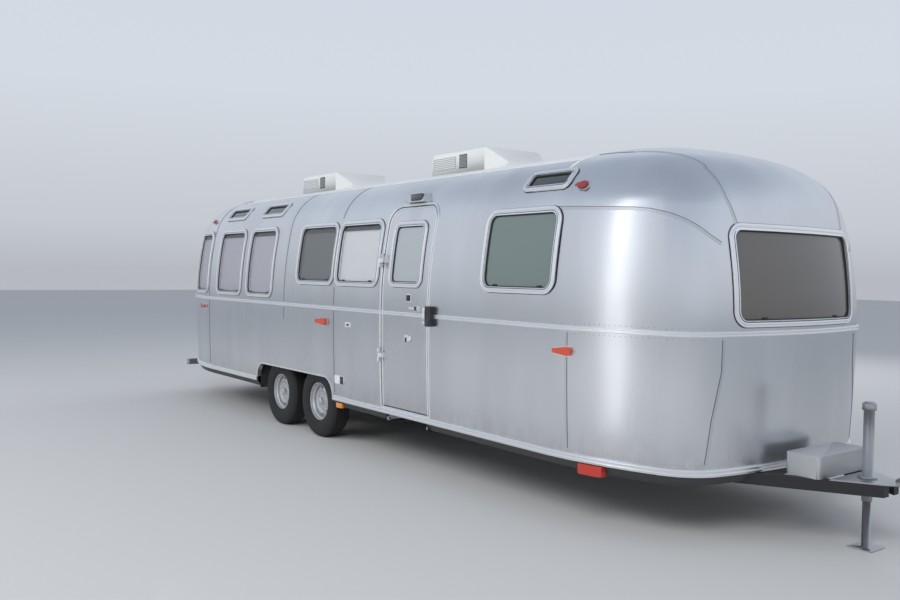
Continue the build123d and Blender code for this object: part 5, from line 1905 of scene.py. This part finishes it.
@dataclass
class EntryDoor:
    """The door with its frame, window, locks and hinges."""

    form: BodyForm
    top: float = 1.772
    corner: float = 0.160
    foot: float = 0.012
    jamb: float = 0.018
    gap: float = 0.008
    window_width: float = 0.500
    window_rise: float = 0.225
    window_height: float = 0.560
    window_corner: float = 0.085

    def build(self) -> None:
        """Makes the door and its frame."""
        show_copies([
            ("door_frame", Finishes.BRIGHT, "trim", ROOT),
            ("door_panel", Finishes.SHEET, "shell", DOOR),
            ("door_window_frame", Finishes.BRIGHT, "trim", DOOR),
            ("door_glass", Finishes.PALE_GLASS, "glass", DOOR),
        ], self.form)
        show_copies([("door_moulding", Finishes.BRIGHT, "trim", DOOR)])
        self.edges()
        self.window()
        self.moulding()
        # Latch and hinge leaves take the finish whose near-white colour is painted highlight of their plating
        show_copies([
            ("door_latch", Finishes.SHEEN_FITTING, "chrome", DOOR),
            ("door_hinge_leaves", Finishes.SHEEN_FITTING, "steel", DOOR),
            ("body_hinge_leaves", Finishes.SHEEN_FITTING, "steel", ROOT),
            ("lock_box", Finishes.BLACK_AND_SHADOW, "frame_paint", ROOT),
        ])
        self.lock_faces_and_hook_shadows()

    def edges(self) -> None:
        """Beads of the door's frame and of its own edge, with the black seal between them."""
        outer = self.edge_path(-0.006, 0.003)
        inner = self.edge_path(-self.jamb - self.gap - 0.010, 0.0)
        seal = self.edge_path(-self.jamb - 0.001, -0.004)
        show(sweep("door_frame_bead", outer, half_round(0.016, 0.008, 0.003)), Finishes.BRIGHT, "trim")
        show(sweep("door_edge_bead", inner, half_round(0.014, 0.006, 0.003)), Finishes.BRIGHT, "trim", DOOR)
        show(sweep("door_gap_seal", seal, flat_strip(0.009, 0.003, 0.004)), Finishes.GASKET_AND_SHADE, "trim")

    def edge_path(self, grow: float, outset: float) -> list[Station]:
        """Path up the door's rear edge, over its head and down its front edge.

        Args:
            grow: how far outside the door's outline.
            outset: how far out from the skin.

        Returns:
            The path.
        """
        form = self.form
        x0, x1 = form.behind(LAYOUT.door_rear) - grow, form.behind(LAYOUT.door_front) + grow
        top, corner = form.rail_z + self.top + grow, self.corner + grow
        foot, shoulder = form.rail_z + self.foot, form.rail_z + self.top - self.corner
        outline = [(x0, z) for z in spread(foot, shoulder, OUTLINE_STEP)]
        outline += quarter((x0 + corner, shoulder), corner, 180, -1, 9)[1:]
        outline += [(x, top) for x in spread(x0 + corner, x1 - corner, ROW_STEP)]
        outline += quarter((x1 - corner, shoulder), corner, 90, -1, 9)[1:]
        outline += [(x1, z) for z in spread(shoulder - 0.001, foot, OUTLINE_STEP)]
        return on_skin(form, [form.wall(Side.KERB, x, z) for x, z in outline], outset)

    def window(self) -> None:
        """Beads and seals of the door's window."""
        x = self.form.behind(LAYOUT.door_rear - LAYOUT.door_width / 2)
        z = self.form.belt_z + self.window_rise + self.window_height / 2
        size = (self.window_width, self.window_height, self.window_corner)
        opening = Opening(self.form.wall(Side.KERB, x, z), Vector((1, 0, 0)), UP, *size)
        show(join_meshes("door_window_beads", TRIM.beads(self.form, opening)), Finishes.BRIGHT, "trim", DOOR)
        show(join_meshes("door_window_seals", TRIM.seals(self.form, opening)), Finishes.GASKET_AND_SHADE, "trim", DOOR)

    def moulding(self) -> None:
        """Two beads on the door's piece of the belt moulding."""
        low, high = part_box("door_moulding")
        z, out = (low.z + high.z) / 2, Vector((0, -1, 0))
        run = [Station(Vector((x, low.y + 0.0005, z)), out) for x in (low.x + 0.001, high.x - 0.001)]
        strips = Mouldings.beads([run], 0.0, BELT_BEAD_SHIFTS, BELT_BEAD)
        show(join_meshes("door_moulding_beads", strips), Finishes.BRIGHT, "trim", DOOR)

    def lock_faces_and_hook_shadows(self) -> None:
        """Dark faces of dead-bolt, paddle and latch, and the slot in the door catch's plate; the dark face
        low on the door and the block in the catch's slot are painted shadow of the hooks.
        """
        belt = self.form.belt_rise
        dark = (
            Tile(2.848, belt + 0.138, 0.050, 0.050, 0.006, 0.0160),
            # Painted shadow of the door's lower hook
            Tile(2.862, belt - 0.212, 0.024, 0.040, 0.016, 0.0240),
            Tile(2.722, belt + 0.055, 0.022, 0.030, 0.006, 0.0300),
        )
        faces = join_meshes("lock_faces_and_hook_shadows", [tile.build("face", self.form) for tile in dark])
        show(faces, Finishes.BLACK_AND_SHADOW, "frame_paint", DOOR)
        # Painted shadow: black block where the hook sits in the door catch's slot
        slot = Tile(3.845, 0.694, 0.044, 0.018, 0.0, 0.0145)
        show(slot.build("catch_slot_shadow", self.form), Finishes.BLACK_AND_SHADOW, "frame_paint")


class Wheel:
    """A tyre with its tread and a steel rim with hand holes, nuts and a cap."""

    HOLES = 8
    HOLE_CIRCLE = 0.137
    HOLE_RADIUS = 0.0155
    NUTS = 6
    NUT_CIRCLE = 0.083
    NUT_SEAT = 0.0305
    NUT_SIZE = (0.012, 0.012, 0.018)
    SKIN = 0.0005
    GROOVES = (0.052, 0.018, -0.018, -0.052)
    GROOVE_DEPTH = 0.009
    RIM_HALF = 0.0775

    # Disc's profile round its dish, as (radius, along), between the hub and the rim's well
    DISC_FACE = ((0, 0.028), (0.07, 0.030), (0.098, 0.030), (0.112, 0.042), (0.125, 0.044), (0.150, 0.030))
    DISC_BACK = ((0.148, 0.020), (0.124, 0.034), (0.114, 0.032), (0.100, 0.020), (0.07, 0.020), (0, 0.018))
    CAP = (
        (0, 0.071), (0.018, 0.070), (0.031, 0.064), (0.036, 0.052), (0.038, 0.030), (0.040, 0.027),
        (0, 0.027),
    )

    def __init__(self, end: str, side: Side) -> None:
        """Finds the wheel's place in the frame.

        Args:
            end: front or rear axle.
            side: side of the caravan.
        """
        self.key = f"{end}_{side.name.lower()}"
        low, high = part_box(f"tyre_{self.key}")
        self.centre = (low + high) / 2
        self.radius = (high.z - low.z) / 2
        self.half = (high.y - low.y) / 2
        rim_low, rim_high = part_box(f"rim_{self.key}")
        self.rim_radius = (rim_high.z - rim_low.z) / 2
        self.axis = Vector((0, side.value, 0))
        self.body = f"wheel_{self.key}"

    def build(self) -> None:
        """Makes the tyre, rim, nuts and cap."""
        show(self.tyre(), Finishes.TYRE, "tyre", self.body, f"tyre_{self.key}")
        show(self.rim(), Finishes.RIM, "rim", self.body, f"rim_{self.key}")
        cap = turned(f"hub_cap_{self.key}", self.CAP, self.centre, self.axis, 40)
        show(cap, Finishes.CHROME, "rim", self.body)
        seats = self.circle(self.NUTS, self.NUT_CIRCLE, 0.5)
        stations = [Station(seat + self.axis * self.NUT_SEAT, self.axis) for seat in seats]
        Studs(Finishes.CHROME, self.NUT_SIZE).place(f"wheel_nuts_{self.key}", stations, "rim", self.body)

    def circle(self, count: int, radius: float, shift: float = 0.0) -> list[Vector]:
        """Places round the wheel's axis, in its middle plane."""
        turns = [2 * math.pi * (k + shift) / count for k in range(count)]
        return [self.centre + Vector((math.cos(turn), 0, math.sin(turn))) * radius for turn in turns]

    def tyre(self) -> Object:
        """Tyre with rounded shoulders and grooves round the tread.

        Returns:
            The tyre.
        """
        r, half, bead = self.radius - self.SKIN, self.half - self.SKIN, self.rim_radius
        wall = [
            (bead + 0.002, half - 0.026), (bead + 0.012, half - 0.014), (bead + 0.035, half - 0.004),
            (bead + 0.075, half), (r - 0.062, half - 0.001), (r - 0.036, half - 0.006),
            (r - 0.017, half - 0.015), (r - 0.006, half - 0.029),
        ]
        floor = r - self.GROOVE_DEPTH
        tread: list[Point] = []
        for centre in self.GROOVES:
            lip, foot = (r, centre + 0.006), (floor, centre + 0.004)
            tread += [lip, foot, (floor, centre - 0.004), (r, centre - 0.006)]
        inner = [(radius, -along) for radius, along in reversed(wall)]
        return turned(f"dressed_tyre_{self.key}", wall + tread + inner, self.centre, self.axis, 96)

    def rim(self) -> Object:
        """Rim well with rolled lips and a dished disc with hand holes.

        Returns:
            The rim.
        """
        r, half = self.rim_radius - 2 * self.SKIN, self.RIM_HALF
        barrel = [
            (r, half), (r - 0.006, half), (r - 0.011, half - 0.006), (r - 0.011, half - 0.022),
            (r - 0.026, half - 0.034), (r - 0.026, -half + 0.03), (r - 0.011, -half + 0.018),
            (r - 0.009, -half), (r, -half), (r - 0.004, -half + 0.016), (r - 0.019, -half + 0.032),
            (r - 0.019, half - 0.036), (r - 0.004, half - 0.018),
        ]
        well = turned("barrel", barrel, self.centre, self.axis, 72)
        edge = ((r - 0.021, 0.018), (r - 0.021, 0.010))
        disc = turned("disc", self.DISC_FACE + edge + self.DISC_BACK, self.centre, self.axis, 72)
        back, ahead = self.axis * -0.02, self.axis * 0.07
        holes = self.circle(self.HOLES, self.HOLE_CIRCLE)
        cutters = [rod("cut", place + back, place + ahead, self.HOLE_RADIUS, 20) for place in holes]
        return join_meshes(f"dressed_rim_{self.key}", [well, pierced("disc", disc, cutters)])


@dataclass
class Chassis:
    """Frame, tongue, jack, bumper, axles, belly pan and wheel wells."""

    form: BodyForm
    cut_clear: float = 0.002
    edge_span: Point = (1.10, 1.25)
    edge_rise: Point = (-0.13, -0.07)

    def build(self) -> None:
        """Dresses the underside."""
        show(self.open_pan(), Finishes.BELLY, "belly", ROOT, "belly_pan")
        show_copies([
            ("wheel_wells", Finishes.CHASSIS, "frame_paint", ROOT),
            ("frame_rails", Finishes.CHASSIS, "frame_paint", ROOT),
            ("a_frame", Finishes.CHASSIS, "frame_paint", ROOT),
            ("axles", Finishes.CHASSIS, "frame_paint", ROOT),
            ("floor_deck", Finishes.FLOOR, "floor", ROOT),
            ("hitch_coupler", Finishes.STEEL, "steel", ROOT),
            ("jack_tube", Finishes.STEEL, "steel", ROOT),
            ("rear_bumper", Finishes.STEEL, "steel", ROOT),
            ("battery_box", Finishes.LOCKER, "locker", ROOT),
            ("step_brackets", Finishes.CHASSIS, "frame_paint", ROOT),
            ("jack_leg", Finishes.STEEL, "steel", "tongue_jack"),
            ("entry_step", Finishes.LOCKER, "locker", "folding_step"),
        ])

    def open_pan(self) -> Object:
        """Belly pan without the thin edge that the CAD piece leaves across the wheel openings.

        Returns:
            The pan.
        """
        form = self.form
        rear = form.behind(LAYOUT.well_rear + self.cut_clear)
        ahead = form.behind(LAYOUT.well_front - self.cut_clear)
        low, high = (form.rail_z + rise for rise in self.edge_rise)
        cutters = []
        for side in Side:
            near, far = sorted(side.value * y for y in self.edge_span)
            cutters.append(block("cut", (rear, near, low), (ahead, far, high), 0))
        return pierced("belly_pan_skin", smooth_copy("belly_pan", name="whole pan"), cutters)


@dataclass
class RoofUnit:
    """Panels on one side of a roof unit, measured from its rear end and its base."""

    rear: float
    base: float
    side: Side
    half: float = 0.3325
    sink: float = 0.004
    proud: float = 0.0015
    panel_span: Point = (0.045, 0.405)
    panel_rise: Point = (0.025, 0.140)
    slot_span: Point = (0.455, 0.575)
    slot_rise: Point = (0.020, 0.150)
    slat_rise: Triple = (0.040, 0.125, 0.017)
    louvre_rise: Triple = (0.035, 0.135, 0.0125)

    def plate(self, name: str, span: Point, rise: Point) -> Object:
        """Thin plate let into the unit's side.

        Args:
            name: its name.
            span: where it starts and ends along the unit.
            rise: where it starts and ends over the base.

        Returns:
            The plate.
        """
        near, far = sorted(self.side.value * y for y in (self.half - self.sink, self.half + self.proud))
        low = (self.rear + span[0], near, self.base + rise[0])
        return block(name, low, (self.rear + span[1], far, self.base + rise[1]), 0.001)

    def bars(self, span: Point, rises: Triple) -> list[Station]:
        """Places of the bars on a plate.

        Args:
            span: the plate's span.
            rises: the first and last bar's rise, and about the pitch.

        Returns:
            A station in the middle of each bar.
        """
        low, high, pitch = rises
        x, y = self.rear + sum(span) / 2, self.side.value * (self.half + self.proud)
        out = Vector((0, self.side.value, 0))
        return [Station(Vector((x, y, z)), out) for z in spread(self.base + low, self.base + high, pitch)]


@dataclass
class Fittings:
    """Lamps, hatches and roof units."""

    form: BodyForm
    units: Point = (3.284, 6.012)
    unit_length: float = 1.040
    slat: Triple = (0.330, 0.007, 0.005)
    louvre: Triple = (0.108, 0.005, 0.006)
    hatch_place: Point = (4.035, 0.160)
    hatch_size: Point = (0.170, 0.080)
    hatch_white_share: float = 0.12
    hatch_edge_inset: float = 0.003
    lens_behind_middle: float = 0.035
    lens_inset: float = 0.012
    low_lamp_share: float = 0.66
    high_lamps: float = 1.5

    def build(self) -> None:
        """Dresses what is fixed on the skin."""
        show_copies([
            ("lamp_bases", Finishes.CHROME, "chrome", ROOT),
            ("red_lenses", Finishes.RED, "red_lens", ROOT),
            ("service_hatches", Finishes.WHITE, "white_paint", ROOT),
            # The door catch's near-white colour is painted highlight of its plating
            ("door_catch", Finishes.SHEEN_FITTING, "steel", ROOT),
            ("air_conditioners", Finishes.SHROUD, "shroud", ROOT),
            ("porch_lamp", Finishes.CHROME, "clear_lens", ROOT),
        ])
        self.side_lenses()
        self.porch_lens()
        self.hatch_edge()
        self.unit_grilles()

    def side_lenses(self) -> None:
        """Shows the side lamps' lenses: orange by the belt, deep red by the roof, amber under the rail."""
        rail = self.form.rail_z
        high = rail + self.high_lamps
        belt_lenses = smooth_copy("amber_lenses", None, lambda p: rail < p.z < high, "side_lamp_lenses")
        show(belt_lenses, Finishes.ORANGE_RED, "amber_lens", ROOT, "amber_lenses")
        high_lenses = smooth_copy("amber_lenses", None, lambda p: p.z > high, "high_lamp_lenses")
        show(high_lenses, Finishes.DEEP_RED, "amber_lens")
        low_lenses = smooth_copy("amber_lenses", None, lambda p: p.z < rail, "low_amber_lenses")
        self.shrink(low_lenses, self.low_lamp_share)
        show(low_lenses, Finishes.AMBER, "amber_lens")

    @staticmethod
    def shrink(lenses: Object, share: float) -> None:
        """Makes the lens on each side smaller about the middle of its seat.

        Args:
            lenses: the lenses of both sides.
            share: the new size as a share of the old.
        """
        for side in Side:
            verts = [v for v in lenses.data.vertices if v.co.y * side.value > 0]
            seat = min(abs(v.co.y) for v in verts)
            middle = sum((v.co for v in verts), Vector()) / len(verts)
            middle.y = side.value * seat
            for vert in verts:
                vert.co = middle + (vert.co - middle) * share

    def porch_lens(self) -> None:
        """Dark lens on the forward part of the porch lamp."""
        low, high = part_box("porch_lamp")
        first = ((low.x + high.x) / 2 - self.lens_behind_middle, low.y - 0.001, low.z + 0.010)
        last = (high.x - self.lens_inset, low.y + 0.030, high.z - self.lens_inset)
        show(block("porch_lens", first, last, 0.004), Finishes.SMOKE, "clear_lens")

    def hatch_edge(self) -> None:
        """Black part at the front of the kerb side's white hatch."""
        distance, rise = self.hatch_place
        length, height = self.hatch_size
        inset = self.hatch_edge_inset
        x, z = self.form.behind(distance), self.form.rail_z + rise
        y = self.form.wall(Side.KERB, x, z).y
        low = (x + length * self.hatch_white_share, y - 0.007, z - height / 2 + inset)
        high = (x + length / 2 - inset, y - 0.001, z + height / 2 - inset)
        show(block("hatch_edge", low, high, 0.001), Finishes.BLACK_AND_SHADOW, "frame_paint")

    def unit_grilles(self) -> None:
        """Grille panels, their slats, and on both sides of each roof unit a dark plate in the slot behind the
        louvres, painted shade inside the vent.
        """
        rears = [self.form.behind(distance) - self.unit_length / 2 for distance in self.units]
        sides = [RoofUnit(rear, self.form.roof_z, side) for rear in rears for side in Side]
        panels = [unit.plate("panel", unit.panel_span, unit.panel_rise) for unit in sides]
        # Painted shade: dark plates in the vent slots, behind the louvres
        vent_shades = [unit.plate("slot", unit.slot_span, unit.slot_rise) for unit in sides]
        slats = [bar for unit in sides for bar in unit.bars(unit.panel_span, unit.slat_rise)]
        louvres = [bar for unit in sides for bar in unit.bars(unit.slot_span, unit.louvre_rise)]
        show(join_meshes("unit_panels", panels), Finishes.GRILLE, "shroud")
        show(join_meshes("unit_vent_shades", vent_shades), Finishes.VENT_SHADE, "shroud")
        Studs(Finishes.SHROUD, self.slat, HeadShape.BAR).place("unit_slats", slats, "shroud")
        Studs(Finishes.GRILLE, self.louvre, HeadShape.BAR).place("unit_louvres", louvres, "shroud")


@dataclass(frozen=True)
class Lamp:
    """A soft rectangular lamp of the studio."""

    name: str
    place: Triple
    aim: Triple
    size: Point
    power: float
    glossy: bool = False

    def build(self) -> None:
        """Makes the lamp, which the camera doesn't see."""
        data = bpy.data.lights.new(self.name, "AREA")
        data.shape = "RECTANGLE"
        data.size, data.size_y = self.size
        data.energy = self.power
        lamp = linked(self.name, data)
        lamp.visible_camera = False
        lamp.visible_glossy = self.glossy
        lamp.location = self.place
        way = Vector(self.aim) - Vector(self.place)
        lamp.rotation_euler = way.to_track_quat("-Z", "Y").to_euler()


@dataclass
class Studio:
    """Pale floor, soft light and the camera at the photograph's angle."""

    camera_place: Triple = (7.05, -5.285, 1.675)
    yaw: float = 0.642
    pitch: float = -0.032
    roll: float = 0.014
    focal: float = 34.7
    sensor: float = 36.0
    floor_reach: float = 60.0
    floor_color: Triple = (0.62, 0.61, 0.59)

    # Colour of the world, by the sine of the height it is seen at
    sky: tuple[tuple[float, Triple], ...] = (
        (0.0, (0.47, 0.49, 0.53)), (0.05, (0.56, 0.59, 0.64)), (0.20, (0.66, 0.70, 0.77)),
        (0.45, (0.62, 0.68, 0.78)), (0.70, (0.42, 0.48, 0.58)), (1.0, (0.36, 0.41, 0.50)),
    )
    lamps: tuple[Lamp, ...] = (
        Lamp("key", (9, -9, 9), (0, 0, 1.2), (5.0, 5.0), 620),
        Lamp("strip", (1.1, -9.8, 3.4), (3.3, -1.1, 1.5), (0.8, 11.0), 60, glossy=True),
        Lamp("low strip", (2.56, -4.0, 0.05), (2.63, -3.73, 1.0), (0.26, 4.0), 5.5, glossy=True),
        Lamp("side", (-3, -11, 7), (-1, 0, 1.2), (9.0, 3.0), 380),
        Lamp("back", (-4, 10, 7), (0, 0, 1.4), (8.0, 4.0), 350),
    )

    def build(self) -> None:
        """Makes the camera, the floor, the sky and the lamps."""
        self.camera()
        self.floor()
        self.world()
        for lamp in self.lamps:
            lamp.build()
        bpy.context.scene.view_settings.view_transform = "Standard"

    def camera(self) -> None:
        """Camera at the photograph's place, turned by yaw, pitch and roll in radians."""
        data = bpy.data.cameras.new("camera")
        data.sensor_width = self.sensor
        data.lens = self.focal
        data.clip_end = 200
        obj = linked("camera", data)
        cy, sy, cp, sp = math.cos(self.yaw), math.sin(self.yaw), math.cos(self.pitch), math.sin(self.pitch)
        look = Vector((-cy * cp, sy * cp, sp))
        right = look.cross(UP).normalized()
        up = right.cross(look)
        cr, sr = math.cos(self.roll), math.sin(self.roll)
        right, up = right * cr + up * sr, up * cr - right * sr
        matrix = obj.matrix_world.copy()
        for row in range(3):
            matrix[row][0], matrix[row][1], matrix[row][2] = right[row], up[row], -look[row]
            matrix[row][3] = self.camera_place[row]
        obj.matrix_world = matrix
        bpy.context.scene.camera = obj

    def floor(self) -> None:
        """Large pale floor."""
        reach = self.floor_reach
        corners = [(-reach, -reach, 0), (reach, -reach, 0), (reach, reach, 0), (-reach, reach, 0)]
        obj = mesh_object("floor", corners, [(0, 1, 2, 3)], smooth=False)
        finish = Finish("pale floor", self.floor_color, roughness=0.9, specular=0.2)
        obj.data.materials.append(finish.material())

    def world(self) -> None:
        """Pale sky that is darker overhead and at the horizon."""
        world = bpy.data.worlds.new("studio")
        bpy.context.scene.world = world
        world.use_nodes = True
        tree = world.node_tree
        back = tree.nodes["Background"]
        place = tree.nodes.new("ShaderNodeTexCoord")
        split = tree.nodes.new("ShaderNodeSeparateXYZ")
        tree.links.new(place.outputs["Generated"], split.inputs[0])
        ramp = tree.nodes.new("ShaderNodeValToRGB")
        stops = ramp.color_ramp.elements
        for stop, (position, tone) in zip(tuple(stops), (self.sky[0], self.sky[-1])):
            stop.position, stop.color = position, (*tone, 1)
        for position, tone in self.sky[1:-1]:
            stops.new(position).color = (*tone, 1)
        tree.links.new(split.outputs["Z"], ramp.inputs["Fac"])
        tree.links.new(ramp.outputs["Color"], back.inputs["Color"])
        back.inputs["Strength"].default_value = 1.0


def main() -> None:
    """Builds each sub-assembly and then the stage."""
    logging.basicConfig(level=logging.INFO, format="%(name)s %(message)s")
    form = BodyForm()
    for part in (Skin(form), Windows(form), Mouldings(form), EntryDoor(form)):
        part.build()
    for end in ("front", "rear"):
        for side in Side:
            Wheel(end, side).build()
    for part in (Chassis(form), Fittings(form), Studio()):
        part.build()


if __name__ == "__main__":
    main()
